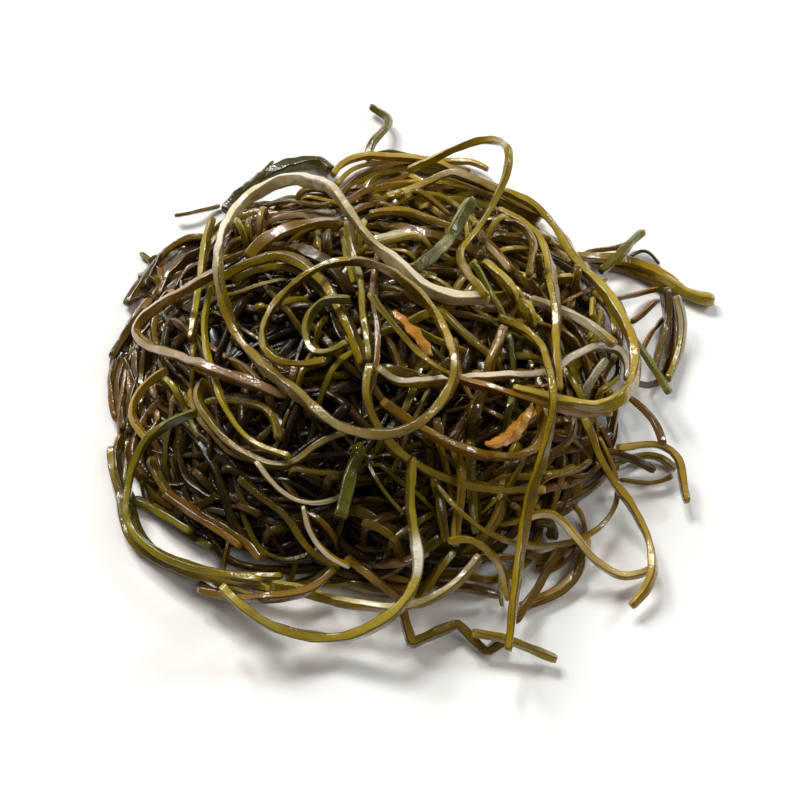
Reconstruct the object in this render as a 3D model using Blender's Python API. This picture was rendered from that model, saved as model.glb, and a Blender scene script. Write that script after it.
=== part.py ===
"""A heap of soaked kelp shreds: long glossy strips with two skin faces and two paler cut faces.

The heap lies on a flat surface at z = 0, with its origin under its middle. Its inside is one fused
tangle, whose flat base it rests on. Over that lie the single shreds, each laid on what came before it,
from the lowest to the highest. Units are metres.
"""

import math
import random

import bmesh
import bpy
import numpy as np

# A shred's section, as shares of the width that it shows from above: the two skin faces are as wide as
# the cut, and the two cut faces as wide as the blade is thick.
CUT_SHARE = 0.95
THICKNESS_SHARE = 0.75
GAP_BETWEEN = 0.0005
SIDE_GAP = 0.0008
GROUND_GAP = 0.0003

# The heap.
HEAP_CENTRE = (-0.003, 0.0)
HEAP_HALF_WIDTH = 0.082
HEAP_HALF_DEPTH = 0.078
TANGLE_HEIGHT = 0.028
CORE_REACH = 0.85
CORE_DEPTH = 0.0052
RELIEF_SHREDS = 42
RELIEF_DIP = 0.0034
SEED = 12

# Laying: how finely a shred is laid, how stiffly it bridges what lies under it, how steeply it may
# drop, and how far it may sink in each of the last rounds, so that it comes to rest.
LAY_STEP = 0.0015
STIFFNESS = 60
STEEPEST = 0.70
MOST_DROP = 0.0008
SEGMENT_LENGTH = 0.0085
SEGMENT_TURN = math.radians(24)
OWN_REACH = 0.011

# Shreds that spring up off the heap: from and to which share of their length, and by how much.
RAISED = {
    "air_loop": (0.25, 1.0, 0.013),
    "great_hoop": (0.07, 0.27, 0.007),
    "back_bundle_upper": (0.0, 1.0, 0.004),
    "right_low_loop": (0.1, 1.0, 0.006),
    "top_stray": (0.0, 0.8, 0.004),
}

# How the routes below were measured: from above at a slant, at a known distance.
VIEW_ELEVATION = math.radians(60)
VIEW_DISTANCE = 0.380
VIEW_FOCAL = 1250.0
VIEW_CENTRE = (400.0, 390.0)

COLOURS = {
    "dark": ((0.060, 0.045, 0.018), 0.25),
    "brown": ((0.160, 0.085, 0.025), 0.25),
    "olive": ((0.210, 0.170, 0.040), 0.25),
    "yellow_olive": ((0.360, 0.290, 0.085), 0.25),
    "green": ((0.270, 0.300, 0.070), 0.25),
    "pale": ((0.560, 0.480, 0.290), 0.30),
    "amber": ((0.420, 0.260, 0.080), 0.25),
    "red_brown": ((0.230, 0.065, 0.020), 0.25),
    "peach": ((0.620, 0.330, 0.160), 0.30),
}

# Each shred: name, colour, the width it shows in mm, lean of its section in degrees, and its route.
# A lean of 0 is a shred that lies flat, 90 one that stands on its cut edge.
# A route's points are measured in the view above, from the shred's one end to its other.
SHREDS = (
    ("back_left_dark", "dark", 4.0, 15, (
        (225, 212), (250, 187), (285, 166), (320, 162), (331, 172))),
    ("left_stub", "dark", 3.6, 60, ((112, 358), (122, 341), (133, 325), (145, 310))),
    ("left_frill", "brown", 2.8, 40, ((126, 305), (142, 281), (160, 257), (185, 239), (207, 238))),
    ("left_upright", "olive", 2.8, 75, (
        (212, 218), (207, 240), (203, 262), (199, 285), (195, 310), (191, 340))),
    ("bottom_zigzag", "brown", 3.3, 80, (
        (403, 610), (410, 630), (415, 643), (421, 645), (438, 637), (452, 627), (458, 626), (464, 635),
        (475, 646), (486, 653), (492, 651), (501, 641))),
    ("bottom_tip", "olive", 2.5, 60, ((472, 633), (492, 636), (512, 641), (532, 650), (557, 660))),
    ("bottom_pale_loop", "olive", 2.9, 70, (
        (480, 556), (466, 574), (447, 591), (422, 603), (395, 608), (342, 603), (300, 590), (272, 586))),
    ("left_outer_edge", "olive", 3.1, 80, (
        (112, 448), (112, 468), (118, 490), (121, 512), (130, 538), (152, 557), (190, 573), (235, 583),
        (270, 592))),
    ("lower_left_edge", "brown", 3.0, 70, (
        (200, 592), (228, 600), (255, 603), (285, 600), (315, 588), (335, 568))),
    ("right_hub", "yellow_olive", 4.0, 10, (
        (575, 256), (600, 258), (625, 261), (650, 270), (675, 287), (695, 297), (714, 300))),
    ("right_dark_drop", "dark", 3.5, 80, (
        (664, 287), (668, 305), (667, 328), (662, 350), (655, 372))),
    ("right_speckled", "olive", 2.7, 60, ((676, 296), (682, 315), (683, 335), (677, 358), (667, 380))),
    ("right_spoke", "brown", 1.8, 45, ((656, 300), (642, 314), (632, 322))),
    ("right_tip", "green", 2.8, 25, ((600, 272), (618, 257), (629, 244), (643, 232))),
    ("right_stray", "green", 2.2, 50, ((618, 320), (630, 334), (640, 348), (650, 362), (660, 378), (670, 394))),
    ("right_low_loop", "olive", 2.7, 75, (
        (618, 448), (640, 445), (658, 444), (673, 451), (682, 465), (683, 485), (687, 503))),
    ("right_low_tail", "brown", 2.2, 40, ((630, 398), (645, 410), (657, 427), (664, 444))),
    ("bottom_right_hook", "brown", 3.0, 75, (
        (582, 540), (583, 558), (578, 577), (565, 590), (545, 600), (520, 607))),
    ("bottom_right_inner", "brown", 2.4, 50, (
        (562, 545), (550, 566), (538, 588), (526, 604), (515, 622))),
    ("top_stray", "green", 2.8, 30, (
        (368, 160), (372, 143), (383, 131), (391, 122), (383, 114), (371, 107))),
    ("back_bundle_upper", "yellow_olive", 2.8, 75, (
        (332, 176), (341, 164), (357, 158), (378, 155), (402, 157), (445, 166), (492, 187), (530, 207))),
    ("back_bundle_lower", "amber", 3.4, 60, (
        (385, 198), (402, 193), (420, 188), (436, 178), (452, 172), (485, 184), (525, 206), (545, 215))),
    ("amber_wide", "amber", 4.2, 20, ((248, 258), (262, 243), (283, 230), (310, 223), (342, 222))),
    ("olive_wide", "olive", 3.7, 50, (
        (205, 288), (228, 274), (252, 262), (276, 256), (297, 260), (325, 284), (346, 320), (365, 365))),
    ("golden_short", "amber", 2.6, 45, ((370, 214), (388, 211), (408, 212), (430, 219), (455, 227))),
    ("green_wide", "green", 3.9, 40, (
        (473, 201), (461, 217), (454, 230), (446, 244), (434, 256), (410, 271))),
    ("centre_upright", "olive", 2.8, 70, (
        (348, 225), (352, 245), (358, 268), (362, 290), (364, 315), (368, 340), (371, 362))),
    ("centre_upright_thin", "brown", 2.3, 80, (
        (378, 255), (373, 285), (376, 310), (378, 335), (377, 360), (372, 392))),
    ("dull_green_loop", "green", 2.6, 75, (
        (350, 299), (333, 299), (317, 306), (307, 320), (306, 338), (313, 354), (330, 353), (348, 342))),
    ("lower_arc_outer", "green", 3.3, 70, (
        (371, 365), (367, 390), (372, 417), (400, 455), (445, 478), (495, 489), (545, 490))),
    ("left_inner_loop", "amber", 2.6, 70, (
        (205, 380), (196, 392), (200, 405), (217, 430), (243, 454), (270, 465), (293, 464), (312, 448),
        (330, 438), (347, 432))),
    ("tan_band", "yellow_olive", 2.2, 40, (
        (205, 402), (222, 399), (243, 401), (262, 406), (274, 418), (278, 440))),
    ("pale_green_arc", "pale", 1.9, 70, (
        (256, 462), (272, 483), (288, 497), (308, 504), (328, 502), (349, 492))),
    ("short_green_end", "green", 3.7, 30, ((360, 446), (353, 470), (347, 492), (340, 518))),
    ("lower_upright", "yellow_olive", 2.4, 60, ((455, 448), (461, 468), (463, 490), (458, 515), (455, 545))),
    ("pale_cut", "pale", 2.0, 60, ((303, 506), (309, 530), (320, 548), (334, 560), (350, 567))),
    ("small_arc", "yellow_olive", 2.5, 65, (
        (448, 542), (468, 538), (484, 545), (497, 559), (505, 577), (509, 600))),
    ("thin_right_arc", "olive", 1.9, 60, (
        (437, 485), (453, 505), (480, 527), (520, 544), (556, 545), (590, 535), (613, 512), (618, 490),
        (612, 465), (598, 438))),
    ("lower_right_loop", "yellow_olive", 2.6, 65, (
        (528, 517), (545, 512), (560, 519), (580, 542), (598, 563), (618, 576), (638, 576), (653, 568))),
    ("right_long", "yellow_olive", 2.8, 70, (
        (585, 418), (592, 435), (608, 472), (636, 513), (651, 547), (653, 577), (645, 592), (631, 607))),
    ("tan_fold", "amber", 2.5, 60, (
        (167, 371), (150, 381), (137, 396), (130, 412), (136, 425), (148, 441))),
    ("left_red", "red_brown", 2.8, 55, ((165, 493), (185, 507), (203, 520), (222, 532), (242, 548))),
    ("lower_left_inner", "green", 2.8, 75, (
        (197, 413), (176, 420), (150, 437), (134, 462), (127, 490), (128, 520), (141, 542), (170, 559),
        (215, 573), (262, 581))),
    ("lower_arc_inner", "amber", 3.1, 70, (
        (383, 402), (402, 415), (440, 440), (480, 455), (518, 456), (538, 447), (544, 425), (540, 402))),
    ("bottom_loop", "olive", 3.7, 80, (
        (222, 587), (238, 604), (262, 622), (300, 635), (340, 638), (378, 625), (405, 602), (418, 572),
        (416, 542), (410, 505), (410, 475), (413, 458))),
    ("pale_arch", "pale", 3.1, 75, (
        (378, 368), (400, 382), (450, 379), (500, 376), (545, 372), (572, 357), (598, 346), (620, 350),
        (628, 364), (626, 380))),
    ("right_bright_band", "yellow_olive", 3.1, 20, (
        (530, 300), (548, 305), (565, 312), (580, 319), (598, 331), (615, 345))),
    ("left_yellow_run", "yellow_olive", 2.0, 65, (
        (216, 297), (207, 315), (205, 340), (212, 370), (226, 410), (250, 441), (290, 457))),
    ("red_diagonal", "red_brown", 2.6, 60, (
        (370, 293), (384, 313), (416, 350), (450, 376), (490, 388), (532, 399), (572, 412), (612, 413))),
    ("right_inner_arc", "olive", 3.3, 75, (
        (498, 211), (520, 222), (535, 235), (545, 250), (552, 278), (556, 312), (556, 350), (558, 392))),
    ("right_outer_arc", "yellow_olive", 3.6, 75, (
        (500, 190), (535, 206), (559, 232), (577, 261), (603, 290), (625, 324), (635, 355), (632, 385),
        (610, 405), (580, 405), (545, 396), (513, 387))),
    ("long_upright", "olive", 2.8, 60, (
        (498, 317), (520, 325), (540, 343), (549, 370), (553, 405), (546, 447), (534, 485), (524, 530),
        (517, 580), (511, 627), (508, 652))),
    ("left_fold", "pale", 3.4, 65, (
        (222, 270), (183, 291), (146, 315), (133, 331), (144, 343), (185, 359), (235, 379), (287, 395))),
    ("crinkled_orange", "peach", 2.9, 45, ((489, 446), (503, 441), (515, 431), (525, 418), (533, 402))),
    ("peach_scrap", "peach", 2.9, 30, ((393, 312), (402, 321), (413, 331), (423, 342), (431, 356))),
    ("great_hoop", "olive", 3.7, 78, (
        (489, 298), (452, 297), (418, 284), (397, 263), (369, 241), (350, 212), (329, 188), (295, 179),
        (258, 191), (230, 218), (219, 250), (222, 297), (237, 335), (263, 366), (300, 397), (340, 427),
        (376, 437), (415, 426), (442, 402), (457, 370), (449, 341), (424, 300), (399, 279), (369, 264),
        (335, 262), (304, 277), (275, 303), (262, 335), (271, 356), (296, 365), (325, 361))),
    ("air_loop", "yellow_olive", 2.5, 50, (
        (487, 297), (475, 283), (464, 267), (458, 253), (466, 243), (480, 226), (497, 196), (508, 172),
        (508, 150), (492, 139), (461, 147), (428, 162), (408, 171))),
)


def rim_reach(angle):
    """How far the heap's outline is pushed out or in, at an angle round it."""
    return 1 + 0.05 * np.sin(3 * angle + 1.0)


def heap_top(x, y):
    """The height of the tangle's tallest shreds over a place: a low uneven dome."""
    across = (x - HEAP_CENTRE[0]) / HEAP_HALF_WIDTH
    along = (y - HEAP_CENTRE[1]) / HEAP_HALF_DEPTH
    rim = rim_reach(np.arctan2(along, across))
    inside = np.clip(1 - (across ** 2 + along ** 2) / rim ** 2, 0, None)
    lumps = 1 + 0.10 * np.sin(75 * x + 1.3) * np.sin(85 * y + 0.4)
    return TANGLE_HEIGHT * inside * lumps


def place_under(points, height):
    """Where the measured points are in plan, if they lie at these heights."""
    sine, cosine = math.sin(VIEW_ELEVATION), math.cos(VIEW_ELEVATION)
    right = (points[:, 0] - VIEW_CENTRE[0]) / VIEW_FOCAL
    up = (VIEW_CENTRE[1] - points[:, 1]) / VIEW_FOCAL
    ray_y = cosine + up * sine
    ray_z = -sine + up * cosine
    reach = (height - VIEW_DISTANCE * sine) / ray_z
    return np.stack([reach * right, -VIEW_DISTANCE * cosine + reach * ray_y], axis=1)


def smooth_route(points, per_leg=12):
    """A smooth curve through hand-picked points, by a Catmull-Rom spline."""
    points = np.array(points, float)
    ends = np.vstack([2 * points[0] - points[1], points, 2 * points[-1] - points[-2]])
    t = np.linspace(0, 1, per_leg, endpoint=False)[:, None]
    legs = []
    for a, b, c, d in zip(ends, ends[1:], ends[2:], ends[3:]):
        curve = 2 * b + (c - a) * t + (2 * a - 5 * b + 4 * c - d) * t ** 2
        legs.append(0.5 * (curve + (3 * b - a - 3 * c + d) * t ** 3))
    return np.vstack(legs + [points[-1:]])


def even_steps(points, step):
    """The same line with its points a step apart."""
    lengths = np.linalg.norm(np.diff(points, axis=0), axis=1)
    along = np.concatenate([[0], np.cumsum(lengths)])
    count = max(4, int(round(along[-1] / step)))
    at = np.linspace(0, along[-1], count + 1)
    return np.stack([np.interp(at, along, points[:, k]) for k in range(points.shape[1])], axis=1)


def soften(values, rounds):
    """Evens out a line's values along it, its ends held."""
    values = values.copy()
    for _ in range(rounds):
        values[1:-1] = 0.5 * values[1:-1] + 0.25 * (values[:-2] + values[2:])
    return values


def bridge(floor, rounds):
    """A stiff ribbon over a bumpy floor: never under it, and smooth where it is held off."""
    height = floor.copy()
    for _ in range(rounds):
        padded = np.concatenate([height[:1], height, height[-1:]])
        height = np.maximum(floor, 0.5 * height + 0.25 * (padded[:-2] + padded[2:]))
    return height


def ease_down(floor, at):
    """The floor, raised so that nothing drops from its high spots more steeply than a ribbon would."""
    rising = np.maximum.accumulate(floor + STEEPEST * at) - STEEPEST * at
    falling = np.maximum.accumulate((floor - STEEPEST * at)[::-1])[::-1] + STEEPEST * at
    return np.maximum(rising, falling)


def half_extents(width, roll):
    """Half of how far a leaning section reaches to the side, and half of how far up."""
    cut, thick = CUT_SHARE * width, THICKNESS_SHARE * width
    lean, stand = np.abs(np.cos(roll)), np.abs(np.sin(roll))
    return 0.5 * (cut * lean + thick * stand), 0.5 * (cut * stand + thick * lean)


class Heap:
    """What has been laid so far: each laid sample's place, half-width and top."""

    def __init__(self):
        self.plan = np.zeros((0, 2))
        self.half_width = np.zeros(0)
        self.top = np.zeros(0)

    def floor_under(self, plan, half_width):
        """The lowest that a ribbon's underside can be at each sample."""
        heading = np.gradient(plan, axis=0)
        heading /= np.linalg.norm(heading, axis=1)[:, None] + 1e-12
        side = np.stack([-heading[:, 1], heading[:, 0]], axis=1) * half_width[:, None]
        floor = np.full(len(plan), GROUND_GAP)
        for shift in (-1.3, 0, 1.3):
            spot = plan + shift * side
            under = heap_top(spot[:, 0], spot[:, 1])
            floor = np.maximum(floor, np.where(under > 0, under + GAP_BETWEEN, 0))
        if len(self.plan):
            apart = np.linalg.norm(plan[:, None] - self.plan[None], axis=2)
            near = apart < half_width[:, None] + self.half_width[None] + SIDE_GAP
            held = np.where(near, self.top[None] + GAP_BETWEEN, 0).max(axis=1)
            floor = np.maximum(floor, held)
        return floor

    def lay(self, points, width, lean, raised):
        """Lays a shred on the heap, and returns its centre line and the lean of its section."""
        start, end, rise = raised
        measured = even_steps(smooth_route(points), 4.0)
        height = np.full(len(measured), 0.02)
        for _ in range(6):
            plan = place_under(measured, height)
            guess = heap_top(plan[:, 0], plan[:, 1]) + 0.006
            height = 0.5 * (height + guess)
        for turn in range(18):
            track = np.column_stack([place_under(measured, height), height, measured])
            lengths = np.linalg.norm(np.diff(track[:, :2], axis=0), axis=1)
            along = np.concatenate([[0], np.cumsum(lengths)])
            count = max(5, int(round(along[-1] / LAY_STEP)))
            at = np.linspace(0, along[-1], count + 1)
            even = np.stack([np.interp(at, along, track[:, k]) for k in range(5)], axis=1)
            plan = soften(even[:, :2], 3)
            measured = even[:, 3:]
            roll = np.radians(lean) + 0.35 * np.sin(at * 95 + width * 4e3)
            half_width, half_height = half_extents(width, roll)
            share = np.clip((at / at[-1] - start) / (end - start), 0, 1)
            spring = rise * np.sin(math.pi * share) ** 2
            floor = self.floor_under(plan, half_width) + half_height + spring
            level = bridge(ease_down(floor, at), STIFFNESS)
            level = self.over_itself(plan, level, floor, half_width, half_height, at)
            if turn > 8:
                level = np.maximum(level, even[:, 2] - MOST_DROP)
            height = level if turn > 8 else 0.5 * (even[:, 2] + level)
        slope = np.gradient(level, at)
        tall = half_height * np.sqrt(1 + slope ** 2)
        level = bridge(np.maximum(level, floor + tall - half_height), 6)
        self.plan = np.vstack([self.plan, plan])
        self.half_width = np.concatenate([self.half_width, half_width])
        self.top = np.concatenate([self.top, level + tall])
        return np.column_stack([plan, level]), roll

    def over_itself(self, plan, level, floor, half_width, half_height, at):
        """Where a shred crosses its own earlier run, the later run goes over it."""
        later = at[:, None] - at[None] > OWN_REACH
        apart = np.linalg.norm(plan[:, None] - plan[None], axis=2)
        near = later & (apart < half_width[:, None] + half_width[None] + SIDE_GAP)
        if not near.any():
            return level
        for _ in range(4):
            own_top = level + half_height + GAP_BETWEEN
            held = np.where(near, own_top[None], 0).max(axis=1) + half_height
            held = np.maximum(floor, np.where(near.any(axis=1), held, 0))
            level = bridge(ease_down(held, at), STIFFNESS)
        return level


def shape_points(line, longest, most_turn):
    """The samples that keep a line's shape: close together in its bends, further apart elsewhere."""
    kept = [0]
    turned = 0.0
    for i in range(1, len(line) - 1):
        before = line[i] - line[i - 1]
        after = line[i + 1] - line[i]
        cosine = before @ after / (np.linalg.norm(before) * np.linalg.norm(after) + 1e-15)
        turned += math.acos(max(-1, min(1, cosine)))
        if turned > most_turn or np.linalg.norm(line[i] - line[kept[-1]]) > longest:
            kept.append(i)
            turned = 0.0
    return kept + [len(line) - 1]


def clear_scene():
    for thing in list(bpy.data.objects):
        bpy.data.objects.remove(thing)


def make_material(name):
    colour, roughness = COLOURS[name]
    material = bpy.data.materials.new(name)
    material.use_nodes = True
    surface = material.node_tree.nodes["Principled BSDF"]
    surface.inputs["Base Color"].default_value = (*colour, 1)
    surface.inputs["Roughness"].default_value = roughness
    surface.inputs["Metallic"].default_value = 0
    surface.inputs["Coat Weight"].default_value = 0.6
    material.diffuse_color = (*colour, 1)
    return material


def section_curve(name, width, guides):
    """The shred's section, a flat bar, as a closed curve that the shred's own curve is bevelled with."""
    curve = bpy.data.curves.new(name, "CURVE")
    curve.dimensions = "2D"
    spline = curve.splines.new("POLY")
    spline.points.add(3)
    half, thin = CUT_SHARE * width / 2, THICKNESS_SHARE * width / 2
    for point, corner in zip(spline.points, ((-half, -thin), (-half, thin), (half, thin), (half, -thin))):
        point.co = (*corner, 0, 1)
    spline.use_cyclic_u = True
    section = bpy.data.objects.new(name, curve)
    section.hide_render = True
    section.display_type = "WIRE"
    guides.objects.link(section)
    return section


def make_ribbon(name, line, roll, section, collection, coarse=1.0):
    """A shred as a curve object with that section, leaning as told at each point."""
    curve = bpy.data.curves.new(name, "CURVE")
    curve.dimensions = "3D"
    curve.twist_mode = "Z_UP"
    curve.bevel_mode = "OBJECT"
    curve.bevel_object = section
    curve.use_fill_caps = True
    kept = shape_points(line, SEGMENT_LENGTH * coarse, SEGMENT_TURN * coarse)
    spline = curve.splines.new("POLY")
    spline.points.add(len(kept) - 1)
    for point, i in zip(spline.points, kept):
        point.co = (*line[i], 1)
        point.tilt = roll[i]
    ribbon = bpy.data.objects.new(name, curve)
    collection.objects.link(ribbon)
    return ribbon


def as_mesh(ribbon, collection):
    """The same shred as a closed mesh, for joining."""
    graph = bpy.context.evaluated_depsgraph_get()
    mesh = bpy.data.meshes.new_from_object(ribbon.evaluated_get(graph))
    cage = bmesh.new()
    cage.from_mesh(mesh)
    bmesh.ops.remove_doubles(cage, verts=cage.verts, dist=1e-6)
    cage.to_mesh(mesh)
    cage.free()
    closed = bpy.data.objects.new(ribbon.name + "_mesh", mesh)
    closed.matrix_world = ribbon.matrix_world
    collection.objects.link(closed)
    bpy.data.objects.remove(ribbon)
    return closed


def make_core(collection):
    """The packed middle of the tangle: a low dome a little under its shreds, flat below."""
    mesh = bpy.data.meshes.new("tangle")
    cage = bmesh.new()
    bmesh.ops.create_uvsphere(cage, u_segments=18, v_segments=10, radius=1)
    for vertex in cage.verts:
        low = vertex.co.z < -1e-6
        reach = CORE_REACH * (0.96 if low else 1) * rim_reach(math.atan2(vertex.co.y, vertex.co.x))
        x = HEAP_CENTRE[0] + vertex.co.x * HEAP_HALF_WIDTH * reach
        y = HEAP_CENTRE[1] + vertex.co.y * HEAP_HALF_DEPTH * reach
        top = float(heap_top(x, y)) - CORE_DEPTH
        vertex.co = (x, y, 0 if low else max(top, 0.0012))
    cage.to_mesh(mesh)
    cage.free()
    core = bpy.data.objects.new("tangle", mesh)
    collection.objects.link(core)
    return core


def relief_route(number, draw):
    """A route over the dome: spread evenly by turns of the golden angle, then a long drawn bend."""
    angle = number * math.radians(137.5)
    away = 0.92 * math.sqrt((number + 0.5) / RELIEF_SHREDS)
    spot = np.array((away * math.cos(angle), away * math.sin(angle)))
    heading = angle + math.pi / 2 + draw.uniform(-1.0, 1.0)
    turn = draw.choice((-1, 1)) * draw.uniform(0.6, 2.2)
    step = 0.05
    points = []
    for _ in range(draw.randint(15, 26)):
        points.append(spot)
        if np.linalg.norm(spot) > 0.84:
            inward = math.atan2(-spot[1], -spot[0])
            heading += 0.35 * ((inward - heading + math.pi) % (2 * math.pi) - math.pi)
        heading += turn * step
        spot = spot + step * np.array((math.cos(heading), math.sin(heading)))
    points = np.array(points)
    rim = rim_reach(np.arctan2(points[:, 1], points[:, 0]))
    out = np.maximum(np.linalg.norm(points, axis=1) / rim / draw.uniform(0.84, 0.93), 1)
    return np.array(HEAP_CENTRE) + points / out[:, None] * (HEAP_HALF_WIDTH, HEAP_HALF_DEPTH)


def largest_shell(thing):
    """Keeps only the outer surface: a sealed hollow is filled, and a loose scrap dropped."""
    cage = bmesh.new()
    cage.from_mesh(thing.data)
    bmesh.ops.triangulate(cage, faces=cage.faces)
    unseen = set(cage.faces)
    shells = []
    while unseen:
        front = [unseen.pop()]
        shell = []
        while front:
            face = front.pop()
            shell.append(face)
            for edge in face.edges:
                if len(edge.link_faces) != 2:
                    continue
                for other in edge.link_faces:
                    if other in unseen:
                        unseen.discard(other)
                        front.append(other)
        shells.append(shell)
    shells.sort(key=len)
    for shell in shells[:-1]:
        bmesh.ops.delete(cage, geom=shell, context="FACES")
    cage.to_mesh(thing.data)
    cage.free()


def make_tangle(collection, guides):
    """The heap's inside: a core with shreds that stand out of it, joined into one body."""
    draw = random.Random(SEED)
    core = make_core(collection)
    repeats = bpy.data.collections.new("tangle_shreds")
    bpy.context.scene.collection.children.link(repeats)
    for number in range(RELIEF_SHREDS):
        plan = even_steps(relief_route(number, draw), LAY_STEP)
        width = draw.uniform(0.0032, 0.0042)
        lean = draw.uniform(0.9, 1.5)
        half_height = half_extents(width, lean)[1]
        wave = 2 * math.pi * np.arange(len(plan)) * LAY_STEP / draw.uniform(0.028, 0.045)
        dip = RELIEF_DIP * 0.5 * (1 - np.cos(wave + draw.uniform(0, 6)))
        level = soften(heap_top(plan[:, 0], plan[:, 1]), 8) - half_height - dip - 0.0002
        level = np.maximum(level, half_height + GROUND_GAP)
        line = np.column_stack([plan, level])
        section = section_curve(f"tangle_section_{number}", width, guides)
        roll = np.full(len(line), lean)
        ribbon = make_ribbon(f"tangle_shred_{number}", line, roll, section, repeats, coarse=1.5)
        as_mesh(ribbon, repeats)
    union = core.modifiers.new("join", "BOOLEAN")
    union.operation = "UNION"
    union.operand_type = "COLLECTION"
    union.collection = repeats
    union.solver = "EXACT"
    union.use_self = True
    graph = bpy.context.evaluated_depsgraph_get()
    joined = bpy.data.meshes.new_from_object(core.evaluated_get(graph))
    core.modifiers.clear()
    core.data = joined
    core.data.name = "tangle"
    for thing in list(repeats.objects):
        bpy.data.objects.remove(thing)
    bpy.data.collections.remove(repeats)
    largest_shell(core)
    return core


def main():
    clear_scene()
    parts = bpy.data.collections.new("kelp_shreds")
    guides = bpy.data.collections.new("guides")
    bpy.context.scene.collection.children.link(parts)
    bpy.context.scene.collection.children.link(guides)
    materials = {name: make_material(name) for name in COLOURS}
    tangle = make_tangle(parts, guides)
    tangle.data.materials.clear()
    tangle.data.materials.append(materials["dark"])
    heap = Heap()
    for name, colour, width, lean, points in SHREDS:
        raised = RAISED.get(name, (0.0, 1.0, 0.0))
        line, roll = heap.lay(points, width / 1000, lean, raised)
        section = section_curve(f"section_{name}", width / 1000, guides)
        ribbon = make_ribbon(name, line, roll, section, parts)
        ribbon.data.materials.append(materials[colour])


main()
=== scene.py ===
import math
import random

import bpy
import numpy as np
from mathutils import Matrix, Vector


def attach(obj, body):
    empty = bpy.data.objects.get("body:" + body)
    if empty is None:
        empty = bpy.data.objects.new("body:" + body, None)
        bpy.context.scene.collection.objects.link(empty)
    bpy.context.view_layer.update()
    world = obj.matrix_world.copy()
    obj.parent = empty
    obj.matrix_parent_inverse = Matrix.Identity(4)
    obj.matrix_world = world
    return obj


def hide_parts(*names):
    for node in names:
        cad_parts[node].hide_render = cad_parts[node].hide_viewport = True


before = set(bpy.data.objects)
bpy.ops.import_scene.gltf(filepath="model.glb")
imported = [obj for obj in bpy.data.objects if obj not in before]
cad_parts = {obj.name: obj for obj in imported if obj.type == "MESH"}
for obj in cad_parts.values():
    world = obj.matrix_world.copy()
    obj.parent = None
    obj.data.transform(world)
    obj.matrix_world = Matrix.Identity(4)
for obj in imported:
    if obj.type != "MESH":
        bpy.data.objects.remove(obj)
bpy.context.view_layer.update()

# A heap of soaked kelp shreds: the finer form and the looks of every shred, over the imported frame.

# Where the routes below were measured: looking down at a slant from a known distance.
# Their points are pixels of a square frame, from a shred's one end to its other.
measured = {"elevation": 60, "distance": 0.380, "focal": 1250, "frame": 800, "centre": (400, 390)}

# The heap's inside, a low uneven dome, in metres.
dome = {"centre": (-0.003, 0.0), "halfWidth": 0.082, "halfDepth": 0.078, "height": 0.028}

# How shreds are laid: gaps between them, how finely, and how stiffly they bridge hollows.
# A route's heights are worked out in turns. From slowTurn on, a turn lowers them by mostDrop at most.
# Sections sway about their lean along a shred, and each width starts at another place in the beat.
laying = {
    "gap": 0.0005, "sideGap": 0.0008, "groundGap": 0.0003, "step": 0.0015, "stiffness": 60,
    "steepest": 0.70, "mostDrop": 0.0008, "ownReach": 0.011, "cutShare": 0.95, "thickShare": 0.75,
    "routeStep": 4.0, "turns": 18, "slowTurn": 9, "sway": 0.35, "swayBeat": 95, "swayStart": 4e3,
    "closeBy": 0.006,
}

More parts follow.
